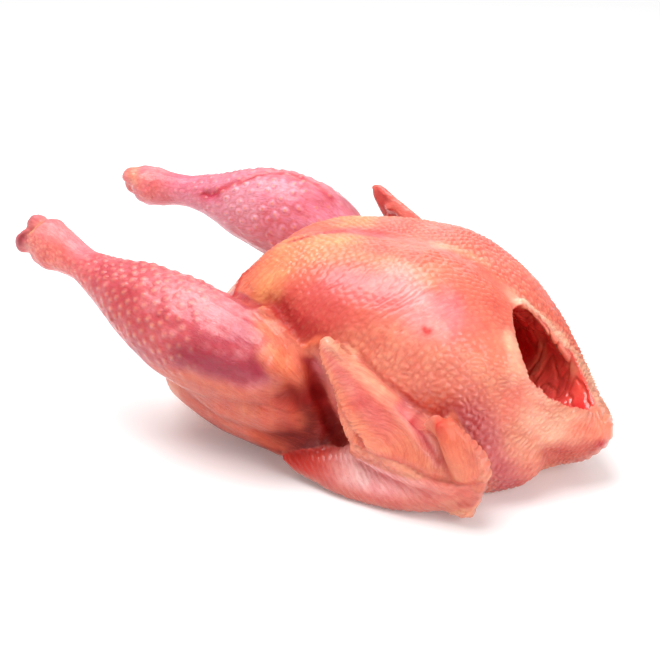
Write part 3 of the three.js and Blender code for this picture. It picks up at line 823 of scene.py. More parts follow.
def lay_wrinkles(mesh, points, part, around, run):
    """Fine wrinkles: slanting on the flank, fanned on the thigh, round the leg, along the wing's quills."""
    x, y, z = points.T
    across = run * math.sin(FLANK_SLANT) + around * math.cos(FLANK_SLANT)
    along = run * math.cos(FLANK_SLANT) - around * math.sin(FLANK_SLANT)
    width, length = FLANK_WRINKLE
    streak = np.stack([across / width + 0.7 * noise(points, 0.025, 9), along / length, y / SPREAD], axis=1)
    flank = between(around, 0.035, 0.055, 0.100, 0.125) * fade(0.120, 0.160, x)
    flank *= (part["leg"] > 1.3) & (part["thigh"] > 1.25) & ~part["inside"] & (part["wing"] > 1.2)
    thigh = fade(1.0, 1.15, part["thigh"]) * (part["leg"] > 1.0) * (part["wing"] > 1.15)
    on_thigh = thigh > 0.3
    width, length = THIGH_WRINKLE
    fan = np.stack([(0.35 * x + z) / width, (x - 0.35 * z) / length, y / SPREAD], axis=1)
    streak = np.where(on_thigh[:, None], fan, streak)
    rise = 0.42 * flank * (0.4 + 0.6 * ease(-0.3, 0.5, noise(points, 0.03, 21)))
    rise = np.where(on_thigh, 0.34 * thigh, rise)
    fibre = np.where(on_thigh, 0.6, np.maximum(0.2, 0.5 * flank))
    for side, tag in SIDES:
        here = (part[f"leg_{tag}"] < 1.2) & (thigh < 0.3)
        down_leg, turn, reach = leg_turn(points[here], side)
        streak[here] = wrinkle_place(turn * reach, down_leg, LEG_WRINKLE)
        fibre[here] = 0.9
        here = part[f"wing_{tag}"] < ON_LIMB
        down_wing, t, _, reach = wing_place(points[here], side)
        curved, _ = quill_run(points[here], side, down_wing)
        quills = wrinkle_place(curved, t * reach, QUILL_WRINKLE)
        folds = wrinkle_place(*arm_slant(points[here], side), ARM_WRINKLE, 5)
        on_hand = part[f"hand_{tag}"][here] < part[f"forearm_{tag}"][here]
        off_thumb = ease(0.004, 0.012, nearest(points[here], on_wing(THUMB_SKIN, side)).gap)
        streak[here] = np.where(on_hand[:, None], quills, folds)
        fibre[here] = np.where(on_hand, 0.85, 0.8) * (0.5 + 0.5 * off_thumb)
    inside = part["inside"]
    rise[part["wing"] < 1.2] = 0.0
    rise[inside] = 1.0
    streak[inside] = points[inside] / HOLLOW_FOLD
    keep(mesh, "fibre", fibre * ~inside)
    keep(mesh, "fold_place", streak, "FLOAT_VECTOR")
    keep(mesh, "fold_rise", rise * MM)


def lay_quills(mesh, points, part):
    """Quill ridges on the outer wings and wrinkles on the forearms; gives the rise of the skin under them."""
    phase, rise, shape = np.zeros((3, len(points)))
    push = np.zeros((len(points), 3))
    for side, tag in SIDES:
        hand, forearm, wing = part[f"hand_{tag}"], part[f"forearm_{tag}"], part[f"wing_{tag}"]
        along, t, across, _ = wing_place(points, side)
        curved, trail = quill_run(points, side, along)
        on_hand = (wing < ON_LIMB) & (hand < forearm) & (hand < ON_LIMB)
        full = ease(-0.25, 0.15, t) * ease(0.012, 0.030, along)
        phase = np.where(on_hand, curved / QUILL_GAP + 1.2 * rough(points, 0.012, 41, 3), phase)
        rise = np.where(on_hand, 0.30 * full * (0.7 + 0.5 * noise(points, 0.010, 47)), rise)
        edge = on_hand * ease(0.75, 1.0, t) * ease(0.030, 0.045, along) * fade(0.012, 0.018, trail)
        push += across * (edge * 0.35 * MM)[:, None]
        shape += on_hand * falloff(t + 0.85, 0.2) * ease(0.015, 0.030, along)
        on_arm = (wing < ON_LIMB) & (forearm <= hand) & (forearm < 1.2)
        over, _ = arm_slant(points, side)
        phase = np.where(on_arm, over / ARM_FOLD_GAP + 0.9 * rough(points, 0.02, 43, 2), phase)
        rise = np.where(on_arm, 0.24 + 0.12 * noise(points, 0.012, 49), rise)
    beyond, share, _ = wing_edge(points, LEFT)
    beside = between(share, 0.02, 0.08, 0.9, 1.0) * (points[:, 1] * LEFT > flank_width(points) - 0.006)
    shape -= 1.1 * beside * falloff(beyond - 0.0010, 0.0014)
    keep(mesh, "quill_phase", phase)
    keep(mesh, "quill_rise", rise * MM)
    keep(mesh, "quill_push", push, "FLOAT_VECTOR")
    return shape * MM


# ---- colours -------------------------------------------------------------------------------------
class Coat:
    """The skin's colour at every vertex, laid on in soft layers."""

    def __init__(self, colour, points):
        self.tint = np.tile(np.array(colour), (len(points), 1))
        self.uneven = 1 + 0.35 * rough(points, 0.018, 61, 3)

    def lay(self, mask, colour, share=1.0):
        """Lays a colour over what is there: 0-255 values, or the linear colour of a setting."""
        amount = np.clip(mask * share, 0, 1)[:, None]
        goal = linear(*colour) if isinstance(colour, tuple) else np.array(colour)
        self.tint = self.tint * (1 - amount) + goal * amount

    def patch(self, mask, points, path, width, colour, strength):
        """Lays a colour along a path, with an uneven edge."""
        gap = nearest(points, path).gap * self.uneven
        self.lay(mask, colour, strength * falloff(gap, width * MM, 2.4))

    def change(self, amount, shares):
        """Makes red, green and blue brighter or darker by these shares of themselves."""
        self.tint = self.tint * (1 + amount[:, None] * np.array(shares))


def skin_masks(points, places, part):
    """Share of each kind of skin at every vertex, from 0 to 1."""
    leg = fade(1.02, 1.12, part["leg"] - 0.12 * (part["leg"] < part["thigh"]))
    thigh = fade(1.04, 1.16, part["thigh"]) * ease(0.98, 1.06, part["leg"])
    wing = fade(1.05, 1.18, part["wing"])
    inside = part["inside"].astype(float)
    height = points[:, 2] + 0.004 * rough(points, 0.02, 83, 2)
    low = fade(0.072, 0.088, height) * ease(-0.100, -0.060, places[:, 0])
    thigh = np.clip(thigh + leg * low, 0, 1)
    leg = leg * (1 - low)
    body = np.clip(1 - leg - thigh - wing - inside, 0, 1)
    everywhere = np.ones(len(points))
    return {"leg": leg, "thigh": thigh, "wing": wing, "inside": inside, "body": body, "any": everywhere}


def strip(points, side, path, width):
    """Soft strip along a line on a wing."""
    raised = ease(-0.002, 0.002, points[:, 1] * side - flank_width(points))
    return raised * falloff(nearest(side_view(points, side), wing_line(path, side)).gap, width * MM)


def paint_wing(coat, points, part, side, tag, settings):
    """Colours of one wing: the outer wing, the forearm, and then the thumb and the small marks."""

    def from_spot(spot):
        return np.linalg.norm(points - on_wing((spot,), side)[0] * MM, axis=1)

    along, t, _, _ = wing_place(points, side)
    wing = fade(1.05, 1.18, part[f"wing_{tag}"]) * ~part["inside"]
    outer = part[f"hand_{tag}"] <= part[f"forearm_{tag}"]
    hand, arm = wing * outer, wing * ~outer
    near_lead = ease(-0.007, -0.003, wing_edge(points, side)[0])
    coat.lay(hand, settings.wing_color)
    coat.lay(hand, (230, 118, 118), 0.6 * falloff(t - 0.25, 0.4) * ease(0.05, 0.08, along))
    coat.lay(hand, (250, 144, 108), 0.8 * ease(0.5, 0.95, t))
    coat.lay(hand, (252, 164, 134), 0.9 * near_lead * ease(0.03, 0.05, along))
    for path, width, colour, strength in STRIPS_BEFORE:
        coat.lay(wing, colour, strength * strip(points, side, path, width))
    coat.lay(hand, (226, 112, 88), 0.6 * fade(0.02, 0.05, along))
    near = nearest(points, FOREARM_PATH[side], FOREARM_RADIUS[side])
    height = (points[:, 2] - near.spot[:, 2]) / near.reach
    coat.lay(arm, (226, 104, 86))
    # Painted highlight on the upper middle of the forearm.
    coat.lay(arm, (255, 202, 198), 0.9 * falloff(near.along - 0.07, 0.04) * ease(-0.6, 0.1, height))
    coat.lay(arm, (200, 34, 14), fade(0.02, 0.075, near.along))
    coat.lay(arm, (206, 118, 102), 0.8 * ease(0.1, 0.7, -height))
    for path, width, colour, strength in STRIPS_AFTER:
        coat.lay(wing, colour, strength * strip(points, side, path, width))
    coat.lay(wing, (206, 36, 30), 0.8 * falloff(from_spot(THUMB_SKIN[0]), 0.005))
    if side == RIGHT:
        coat.lay(hand, (236, 96, 92), 0.85 * ease(0.085, 0.11, along))
    coat.lay(wing, (230, 84, 58), 0.9 * falloff(from_spot(FLAP_SPOT), 0.011, 4))


def paint(mesh, points, normals, places, part, around, settings):
    """Lays all the colours of the skin and of the flesh, with painted shade in folds, gaps and on the
    underside and a few painted highlights, and where they are dull or wet.
    """
    coat = Coat(settings.body_color, points)
    masks = skin_masks(points, places, part)
    leg, inside = masks["leg"], masks["inside"]
    coat.lay(leg, settings.leg_color)
    coat.lay(masks["thigh"], settings.thigh_color)
    coat.lay(masks["body"], (236, 152, 120), ease(0.125, 0.165, around))
    spots = rough(points, 0.010, 91, 3)
    coat.lay(leg * ease(0.05, 0.6, spots), (178, 58, 84), 0.4)
    coat.lay(leg * ease(0.05, 0.6, -spots), (246, 164, 168), 0.35)
    for where, *patch in PATCHES_BOTH:
        coat.patch(masks[where], places, *patch)
    for where, *patch in PATCHES_ONCE:
        coat.patch(masks[where], points, *patch)
    for side, tag in SIDES:
        paint_wing(coat, points, part, side, tag, settings)
    blotch = rough(points, 0.05, 71, 3)
    skin = 1 - inside
    coat.change(0.25 * skin * ease(0.15, 0.9, blotch), (-0.1, -1.0, -0.9))
    coat.change(0.25 * skin * ease(0.15, 0.9, -blotch), (0.1, 1.0, 0.7))
    coat.tint = np.clip(coat.tint, 0, 0.97)
    coat.lay(inside, settings.flesh_color)
    # Painted shade: skin that lies sunk below its smoothed neighbours, in folds and hollows, is darkened.
    sunk = ((smooth(points, edges_of(mesh), SUNK_ROUNDS) - points) * normals).sum(1)
    coat.change(np.clip(sunk / SUNK_FULL, 0, 1) * skin, (-0.22, -0.55, -0.55))
    # Painted shade: skin that faces down is painted darker, less so on the wings.
    coat.change(fade(-0.8, 0.1, normals[:, 2]) * skin * (1 - 0.6 * masks["wing"]), (-0.16, -0.30, -0.28))
    streaks = rough(points, 0.016, 77, 3)
    coat.lay(ease(0.0, 0.7, streaks) * inside, (253, 100, 80), 0.6)
    coat.lay(ease(0.1, 0.7, -streaks) * inside, (168, 8, 8), 0.6)
    for patch in HOLLOW_PATCHES:
        coat.patch(inside, points, *patch)
    coat.lay(inside, (186, 8, 4), 0.9 * fade(0.10, 0.16, points[:, 0]))
    keep(mesh, "tint", coat.tint, "FLOAT_COLOR")
    dull = [share * falloff(nearest(places, path).gap, width * MM, 3) for path, width, share in DULL_PATHS]
    keep(mesh, "dull", np.maximum.reduce(dull))
    keep(mesh, "wet", inside)


def sculpt(body, settings):
    """Presses the folds into the skin and works out where each kind of skin lies."""
    mesh = body.data
    points, normals = read(mesh, "place"), read(mesh, "normal")
    part = regions(points, normals)
    places = left_places(points, part)
    outer = ~part["inside"]
    run = np.interp(points[:, 0], BODY_X, BODY_RUN)
    around = np.arctan2(-places[:, 1], points[:, 2] - BODY_AXIS) * BODY_GIRTH
    lay_rows(mesh, points, part, around, run)
    lay_wrinkles(mesh, points, part, around, run)
    rise = lay_quills(mesh, points, part)
    for _, path, width, height in CREASES_BOTH:
        rise += fold(places, path, width, height) * outer
    for _, path, width, height in CREASES_ONCE:
        rise += fold(points, path, width, height) * outer
    for side in (LEFT, RIGHT):
        raised = ease(-0.002, 0.002, points[:, 1] * side - flank_width(points))
        for _, path, width, height in CREASES_WING:
            rise += fold(side_view(points, side), wing_line(path, side), width, height) * raised
        knuckle = np.array(LEG_PATH[side][0]) * MM
        hock = fade(0.022, 0.05, np.linalg.norm(points - knuckle, axis=1))
        rise += 0.0011 * rough(points, 0.009, 33, 3) * hock
    rise += 0.0006 * rough(points, 0.022, 31, 2) * np.where(outer, 1.0, 2.5)
    lip = falloff(part["hollow"] - 1.10, 0.07) * outer * ease(0.15, 0.165, points[:, 0])
    rise += 0.0012 * lip
    paint(mesh, points, normals, places, part, around, settings)
    place(mesh, points + normals * rise[:, None])
    finer = body.modifiers.new("finer", "SUBSURF")
    finer.levels = 1
    finer.render_levels = 1


# ---- node trees ----------------------------------------------------------------------------------
class Tree:
    """Short names for building a node tree."""

    def __init__(self, tree):
        self.tree = tree

    def node(self, kind, settings=None, **inputs):
        made = self.tree.nodes.new(kind)
        for name, value in (settings or {}).items():
            setattr(made, name, value)
        for name, value in inputs.items():
            self.set(made.inputs[name.replace("_", " ")], value)
        return made

    def set(self, socket, value):
        if isinstance(value, bpy.types.NodeSocket):
            self.tree.links.new(value, socket)
        elif value is not None:
            socket.default_value = value

    def math(self, kind, *values):
        """One math node after another, until all the values are taken in."""
        result = values[0]
        for value in values[1:] or (None,):
            made = self.node("ShaderNodeMath", {"operation": kind})
            self.set(made.inputs[0], result)
            self.set(made.inputs[1], value)
            result = made.outputs[0]
        return result

    def times(self, *values):
        return self.math("MULTIPLY", *values)

    def plus(self, *values):
        return self.math("ADD", *values)

    def minus(self, *values):
        return self.math("SUBTRACT", *values)

    def vector(self, kind, first, second=None, **inputs):
        made = self.node("ShaderNodeVectorMath", {"operation": kind}, **inputs)
        self.set(made.inputs[0], first)
        self.set(made.inputs[1], second)
        return made.outputs["Value" if kind in ("DOT_PRODUCT", "LENGTH") else "Vector"]

    def step(self, value, low, high, start=0.0, end=1.0):
        """Smooth step from start at low to end at high."""
        made = self.node(
            "ShaderNodeMapRange", {"interpolation_type": "SMOOTHSTEP"},
            Value=value, From_Min=low, From_Max=high, To_Min=start, To_Max=end,
        )
        return made.outputs["Result"]

    def mix(self, share, first, second, kind="MIX"):
        """Two colours mixed, or the first one multiplied by the second."""
        made = self.node("ShaderNodeMix", {"data_type": "RGBA", "blend_type": kind})
        for number, value in ((0, share), (6, first), (7, second)):  # the sockets of a colour mix
            self.set(made.inputs[number], value)
        return made.outputs[2]

    def noise(self, place, scale, detail=2.0, rough=0.5):
        made = self.node("ShaderNodeTexNoise", Vector=place, Scale=scale, Detail=detail, Roughness=rough)
        return made.outputs[0]

    def layer(self, name, output="Fac"):
        """A value kept at the vertices, for a material."""
        return self.node("ShaderNodeAttribute", {"attribute_name": name}).outputs[output]

    def group(self, name, build):
        """A shared group, which is built when it is first asked for."""
        return self.node("ShaderNodeGroup", {"node_tree": bpy.data.node_groups.get(name) or build(name)})


WHITE = (1.0, 1.0, 1.0, 1)
RAW_SKIN = (0.8, 0.3, 0.2, 1)
FLOAT, COLOUR = "NodeSocketFloat", "NodeSocketColor"
GEOMETRY, MATERIAL = "NodeSocketGeometry", "NodeSocketMaterial"


def open_tree(name, kind, inputs, outputs):
    """An empty node tree with its named inputs and outputs."""
    tree = bpy.data.node_groups.new(name, kind)
    for label, socket, value in inputs:
        made = tree.interface.new_socket(label, in_out="INPUT", socket_type=socket)
        if value is not None:
            made.default_value = value
    for label, socket in outputs:
        tree.interface.new_socket(label, in_out="OUTPUT", socket_type=socket)
    return Tree(tree), tree.nodes.new("NodeGroupInput").outputs, tree.nodes.new("NodeGroupOutput").inputs


def relief_tree():
    """Raises the domes, cobbles, wrinkles and quill ridges, and keeps their places for the colours."""
    inputs = (
        ("Geometry", GEOMETRY, None), ("Irregularity", FLOAT, 0.45), ("Cobble irregularity", FLOAT, 0.5),
        ("Dome width", FLOAT, 0.42), ("Crease width", FLOAT, 0.30), ("Relief", FLOAT, 1.0),
        ("Material", MATERIAL, None),
    )
    make, given, result = open_tree("skin_relief", "GeometryNodeTree", inputs, (("Geometry", GEOMETRY),))

    def kept(name, kind="FLOAT"):
        made = make.node("GeometryNodeInputNamedAttribute", {"data_type": kind}, Name=name)
        return made.outputs["Attribute"]

    def cells(feature, uneven):
        return make.node(
            "ShaderNodeTexVoronoi", {"voronoi_dimensions": "2D", "feature": feature},
            Vector=row_place, Scale=1.0, Randomness=given[uneven],
        ).outputs

    row_place = kept("row_place", "FLOAT_VECTOR")
    dome_rise, cobble_rise = kept("dome_rise"), kept("cobble_rise")
    fold_rise, quill_rise = kept("fold_rise"), kept("quill_rise")

    # Domes over the follicles, each with a pore at its top.
    centre = cells("F1", "Irregularity")["Distance"]
    dome = make.step(centre, 0.04, make.times(given["Dome width"], kept("dome_size")), 1.0, 0.0)
    pore = make.step(centre, 0.02, 0.13, 1.0, 0.0)

    # Cobbles with creases between them, higher in the middle and tilted like scales.
    edge = cells("DISTANCE_TO_EDGE", "Cobble irregularity")["Distance"]
    scale = cells("F1", "Cobble irregularity")
    inner = make.vector("SUBTRACT", row_place, scale["Position"])
    tilt = make.vector("DOT_PRODUCT", inner, (-0.55, 0.55, 0.0))
    cushion = make.step(scale["Distance"], 0.0, 0.72, 1.0, 0.0)
    top = make.plus(0.45, make.plus(make.times(cushion, 0.55), tilt))
    cobble = make.times(make.step(edge, 0.0, given["Crease width"]), top)

    # Wrinkles where a stretched noise passes its middle, and ridges along the quills.
    streak = make.noise(kept("fold_place", "FLOAT_VECTOR"), 1.0, 1.5)
    crease = make.step(make.math("ABSOLUTE", make.minus(streak, 0.5)), 0.0, 0.07, 1.0, 0.0)
    wave = make.math("COSINE", make.times(kept("quill_phase"), 2 * math.pi))
    quill = make.step(wave, -1.0, 1.0)

    height = make.times(dome, dome_rise)
    height = make.minus(height, make.times(pore, make.times(dome_rise, 0.25)))
    height = make.plus(height, make.times(make.minus(cobble, 0.5), cobble_rise))
    height = make.minus(height, make.times(crease, fold_rise))
    height = make.plus(height, make.times(make.minus(quill, 0.5), quill_rise, 2.0))
    height = make.times(height, given["Relief"])
    lift = make.vector("SCALE", make.node("GeometryNodeInputNormal").outputs[0], Scale=height)
    spread = make.vector("SCALE", kept("quill_push", "FLOAT_VECTOR"), Scale=wave)
    moved = make.vector("ADD", lift, spread)
    flow = make.node("GeometryNodeSetPosition", Geometry=given["Geometry"], Offset=moved).outputs[0]

    # Colours for the material: a ring round each dome's foot is painted shade, and the cobbles' tops take the
    # domes' pale colour as a painted highlight.
    ring = make.times(make.step(centre, 0.30, 0.44), make.step(centre, 0.44, 0.66, 1.0, 0.0))
    between_cobbles = make.step(edge, 0.0, given["Crease width"], 1.0, 0.0)
    cobble_top_highlight = make.step(cobble, 0.75, 1.25)
    shown = {
        "dome": make.plus(make.times(dome, dome, dome_rise, 850.0), make.times(cobble_top_highlight, cobble_rise, 500.0)),
        "pore": make.times(pore, make.plus(make.times(dome_rise, 1500.0), make.times(cobble_rise, 600.0))),
        "ring": make.times(ring, dome_rise, 900.0),
        "crease": make.plus(
            make.times(between_cobbles, cobble_rise, 360.0), make.times(crease, fold_rise, 1400.0)
        ),
        "quill": make.times(make.minus(1.0, quill), quill_rise, 1500.0),
    }
    for name, value in shown.items():
        flow = make.node("GeometryNodeStoreNamedAttribute", Geometry=flow, Name=name, Value=value).outputs[0]
    flow = make.node("GeometryNodeRealizeInstances", Geometry=flow).outputs[0]
    flow = make.node("GeometryNodeSetMaterial", Geometry=flow, Material=given["Material"]).outputs[0]
    make.set(result[0], flow)
    return make.tree


def mottle_group(name):
    """Uneven colour of raw skin: redder patches, paler spots and fine grain, as shares of its colour."""
    inputs = (
        ("Color", COLOUR, RAW_SKIN), ("Pink", COLOUR, (0.92, 0.66, 0.70, 1)),
        ("Pale", COLOUR, (1.04, 1.28, 1.22, 1)), ("Amount", FLOAT, 0.7), ("Grain", FLOAT, 0.14),
    )
    make, given, result = open_tree(name, "ShaderNodeTree", inputs, (("Color", COLOUR),))
    spot = make.node("ShaderNodeTexCoord").outputs["Object"]
    pink = make.times(make.step(make.noise(spot, 55.0, 3.0), 0.48, 0.72), given["Amount"])
    pale = make.times(make.step(make.noise(spot, 190.0, 3.0), 0.46, 0.72), given["Amount"])
    colour = make.mix(1.0, given["Color"], make.mix(pink, WHITE, given["Pink"]), "MULTIPLY")
    colour = make.mix(1.0, colour, make.mix(pale, WHITE, given["Pale"]), "MULTIPLY")
    grain = make.minus(make.noise(spot, 900.0, 2.0), 0.5)
    light = make.plus(1.0, make.times(grain, given["Grain"]))
    make.set(result[0], make.vector("SCALE", colour, Scale=light))
    return make.tree


def follicle_group(name):
    """Pale domes with a small pore and a painted highlight on the cobbles' tops, and darker creases between
    cobbles and quills with a painted shade ring round each dome's foot.
    """
    inputs = (
        ("Color", COLOUR, RAW_SKIN), ("Dome color", COLOUR, (*linear(250, 172, 156), 1)),
        ("Pore color", COLOUR, (*linear(226, 112, 84), 1)),
        ("Crease color", COLOUR, (*linear(212, 80, 62), 1)), ("Dome amount", FLOAT, 0.42),
        ("Crease amount", FLOAT, 0.42),
    )
    make, given, result = open_tree(name, "ShaderNodeTree", inputs, (("Color", COLOUR),))
    dome = make.times(make.layer("dome"), given["Dome amount"])
    pore = make.times(make.layer("pore"), 0.45)
    # The ring round each dome's foot is painted shade, darkened together with the creases.
    folds = make.times(make.plus(*map(make.layer, ("crease", "quill", "ring"))), given["Crease amount"])
    colour = make.mix(dome, given["Color"], given["Dome color"])
    colour = make.mix(pore, colour, given["Pore color"])
    colour = make.mix(folds, colour, given["Crease color"])
    make.set(result[0], colour)
    return make.tree


def fibre_group(name):
    """Fine streaks and creases that run with the skin: a colour, and a height for the relief."""
    inputs = (
        ("Color", COLOUR, RAW_SKIN), ("Amount", FLOAT, 1.0), ("Line color", COLOUR, (0.84, 0.58, 0.58, 1)),
        ("Ridge color", COLOUR, (1.04, 1.20, 1.20, 1)),
    )
    outputs = (("Color", COLOUR), ("Height", FLOAT))
    make, given, result = open_tree(name, "ShaderNodeTree", inputs, outputs)
    share = make.times(make.layer("fibre"), given["Amount"])
    spot = make.layer("fold_place", "Vector")
    flow = make.noise(spot, 1.1, 3.0, 0.6)
    middle = make.math("ABSOLUTE", make.minus(make.noise(spot, 1.7, 3.0, 0.6), 0.5))
    line = make.step(middle, 0.0, 0.05, 1.0, 0.0)
    ridge = make.times(make.step(flow, 0.42, 0.66), share)
    colour = make.mix(1.0, given["Color"], make.mix(ridge, WHITE, given["Ridge color"]), "MULTIPLY")
    shade = make.times(line, share, 0.55)
    colour = make.mix(1.0, colour, make.mix(shade, WHITE, given["Line color"]), "MULTIPLY")
    make.set(result[0], colour)
    make.set(result[1], make.times(make.minus(flow, make.times(line, 0.35)), share))
    return make.tree


def skin_material(name, wet):
    """Moist raw skin, or wet flesh, that reads its colour and relief from the mesh."""
    settings = bpy.context.scene.turkey_skin
    stuff = bpy.data.materials.new(name)
    stuff.use_nodes = True
    make = Tree(stuff.node_tree)
    shader = stuff.node_tree.nodes["Principled BSDF"]
    follicles = make.group("follicle_color", follicle_group)
    fibres = make.group("skin_fibre", fibre_group)
    mottle = make.group("skin_mottle", mottle_group)
    follicles.inputs["Dome color"].default_value = (*settings.dome_color, 1)
    mottle.inputs["Amount"].default_value = settings.mottle
    make.set(follicles.inputs["Color"], make.layer("tint", "Color"))
    make.set(fibres.inputs["Color"], follicles.outputs["Color"])
    make.set(mottle.inputs["Color"], fibres.outputs["Color"])
    make.set(shader.inputs["Base Color"], mottle.outputs["Color"])
    spot = make.node("ShaderNodeTexCoord").outputs["Object"]
    dull = make.layer("dull")
    smoothest, roughest = (0.14, 0.30) if wet else (0.30, 0.44)
    gloss = make.step(make.noise(spot, 120.0, 3.0), 0.3, 0.7, smoothest, roughest)
    make.set(shader.inputs["Roughness"], make.plus(gloss, make.times(dull, 0.5)))
    make.set(shader.inputs["Coat Weight"], make.step(dull, 0.0, 1.0, 0.6 if wet else settings.wetness, 0.0))
    if wet:
        grain = make.noise(spot, 400.0, 3.0)
    else:
        cells = make.node("ShaderNodeTexVoronoi", {"feature": "DISTANCE_TO_EDGE"}, Vector=spot, Scale=620.0)
        scales = make.times(make.step(cells.outputs["Distance"], 0.0, 0.22), 0.4)
        grain = make.plus(scales, make.noise(spot, 900.0, 3.0), make.times(fibres.outputs["Height"], 3.0))
    bump = make.node("ShaderNodeBump", Strength=0.6, Distance=0.0004, Height=grain)
    make.set(shader.inputs["Normal"], bump.outputs[0])
    shader.inputs["Specular IOR Level"].default_value = 0.5 if wet else 0.3
    shader.inputs["Coat Roughness"].default_value = 0.08 if wet else 0.16
    shader.inputs["Subsurface Weight"].default_value = 0.15
    shader.inputs["Subsurface Radius"].default_value = (1.0, 0.32, 0.2)
    shader.inputs["Subsurface Scale"].default_value = 0.003
    return stuff


# ---- pieces --------------------------------------------------------------------------------------
WHOLE = "turkey_whole"
TORSO = ("breast_left", "breast_right", "back_left", "back_right")
LEGS = ("thigh_left", "thigh_right", "leg_left", "leg_right")
WINGS = ("wing_left", "wing_right")
PIECES = (*TORSO, *LEGS, *WINGS, "hollow_flesh")
LAYERS = ("dull", "fibre", "dome", "pore", "ring", "crease", "quill")


def label_pieces(mesh):
    """Gives every vertex the number of the piece that it goes to."""
    points = read(mesh, "place")
    x, y, z = points.T
    part = regions(points, read(mesh, "normal"))
    upper = z > BREAST_EDGE - EDGE_DROP * np.maximum(x - NECK_START, 0)
    label = np.where(upper, 0, 2) + (y > 0)
    for name in (*LEGS, *WINGS):
        label[part[name] < PIECE_EDGE] = PIECES.index(name)
    label[read(mesh, "wet") > 0.5] = PIECES.index("hollow_flesh")
    keep(mesh, "label", label)


def cut_out(name, stuff):
    """Makes one piece from its faces of the whole skin, with the shading running on across the cuts."""
    whole = bpy.data.meshes.get(WHOLE)
    if whole is None:
        raise RuntimeError("Make the body first")
    faces = corners_of(whole)
    label = read(whole, "label").round()
    faces = faces[label[faces[:, 0]] == PIECES.index(name)]
    used, index = np.unique(faces, return_inverse=True)
    mesh = bpy.data.meshes.new(name)
    mesh.vertices.add(len(used))
    mesh.loops.add(faces.size)
    mesh.polygons.add(len(faces))
    mesh.loops.foreach_set("vertex_index", index.astype(np.int32).ravel())
    mesh.polygons.foreach_set("loop_start", np.arange(0, faces.size, 4, dtype=np.int32))
    mesh.vertices.foreach_set("co", read(whole, "place")[used].astype(np.float32).ravel())
    mesh.update(calc_edges=True)
    for layer in (*LAYERS, "fold_place", "tint"):
        keep(mesh, layer, read(whole, layer)[used], whole.attributes[layer].data_type)
    mesh.shade_smooth()
    mesh.normals_split_custom_set_from_vertices(read(whole, "normal")[used])
    mesh.materials.append(stuff)
    mesh.validate()
    piece = add_object(name, mesh)
    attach(piece, "root")
    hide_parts("turkey")
    return piece


def cut_skin(names):
    """Makes several pieces of skin."""
    for name in names:
        cut_out(name, bpy.data.materials["raw_skin"])


class TURKEY_PG_skin(bpy.types.PropertyGroup):
    skin_step: bpy.props.FloatProperty(
        name="Skin step", description="Distance between neighbouring points of the skin",
        default=0.0009, unit="LENGTH",
    )
    relief: bpy.props.FloatProperty(
        name="Relief", description="Strength of the domes, cobbles and wrinkles of the skin",
        default=1.0, min=0.0, max=2.0,
    )
    irregularity: bpy.props.FloatProperty(
        name="Irregularity", description="How far the follicles stray from their rows",
        default=0.45, min=0.0, max=1.0,
    )
    dome_width: bpy.props.FloatProperty(
        name="Dome width", description="Radius of a follicle's dome as a share of their spacing",
        default=0.48,
    )
    mottle: bpy.props.FloatProperty(
        name="Mottle", description="How uneven the skin's colour is",
        default=0.7, min=0.0, max=1.0,
    )
    wetness: bpy.props.FloatProperty(
        name="Wetness", description="Weight of the moist film on the skin",
        default=0.6, min=0.0, max=1.0,
    )
    leg_color: bpy.props.FloatVectorProperty(
        name="Drumstick", description="Main colour of the drumsticks",
        default=linear(206, 78, 88), subtype="COLOR",
    )
    thigh_color: bpy.props.FloatVectorProperty(
        name="Thigh", description="Main colour of the thighs",
        default=linear(218, 100, 70), subtype="COLOR",
    )
    body_color: bpy.props.FloatVectorProperty(
        name="Body", description="Main colour of the breast and back",
        default=linear(232, 112, 90), subtype="COLOR",
    )
    wing_color: bpy.props.FloatVectorProperty(
        name="Wing", description="Main colour of the outer wings",
        default=linear(232, 122, 92), subtype="COLOR",
    )
    flesh_color: bpy.props.FloatVectorProperty(
        name="Flesh", description="Main colour inside the neck hollow",
        default=linear(246, 76, 66), subtype="COLOR",
    )
    dome_color: bpy.props.FloatVectorProperty(
        name="Follicle domes", description="Colour of the follicles' domes",
        default=linear(248, 178, 142), subtype="COLOR",
    )


def add_relief(body, settings):
    """Puts the relief on the body, with the settings as its inputs."""
    relief = body.modifiers.new("relief", "NODES")
    relief.node_group = relief_tree()
    values = {
        "Irregularity": settings.irregularity,
        "Dome width": settings.dome_width,
        "Relief": settings.relief,
        "Material": skin_material("raw_skin", False),
    }
    for item in relief.node_group.interface.items_tree:
        if item.name in values:
            relief[item.identifier] = values[item.name]


class TURKEY_OT_body(bpy.types.Operator):
    """Grow the skin of the whole bird, from which the pieces are then cut"""

    bl_idname = "turkey.body"
    bl_label = "Body"

    def execute(self, context):
        settings = context.scene.turkey_skin
        body = grow_body(settings)
        sculpt(body, settings)
        add_relief(body, settings)
        mesh = plain(body)
        mesh.name = WHOLE
        bpy.data.objects.remove(body)
        points = read(mesh, "place")
        points[:, 2] = np.maximum(points[:, 2], 0.0)  # the bird's weight flattens the skin on the floor
        place(mesh, points)
        label_pieces(mesh)
        return {"FINISHED"}


class TURKEY_OT_torso(bpy.types.Operator):
    """Cut out the skin of the breast and of the back"""

    bl_idname = "turkey.torso"
    bl_label = "Breast and back"

    def execute(self, context):
        cut_skin(TORSO)
        return {"FINISHED"}


class TURKEY_OT_legs(bpy.types.Operator):
    """Cut out the skin of both thighs and both drumsticks"""

    bl_idname = "turkey.legs"
    bl_label = "Legs"

    def execute(self, context):
        cut_skin(LEGS)
        return {"FINISHED"}


class TURKEY_OT_wings(bpy.types.Operator):
    """Cut out the skin of both wings"""

    bl_idname = "turkey.wings"
    bl_label = "Wings"

    def execute(self, context):
        cut_skin(WINGS)
        return {"FINISHED"}


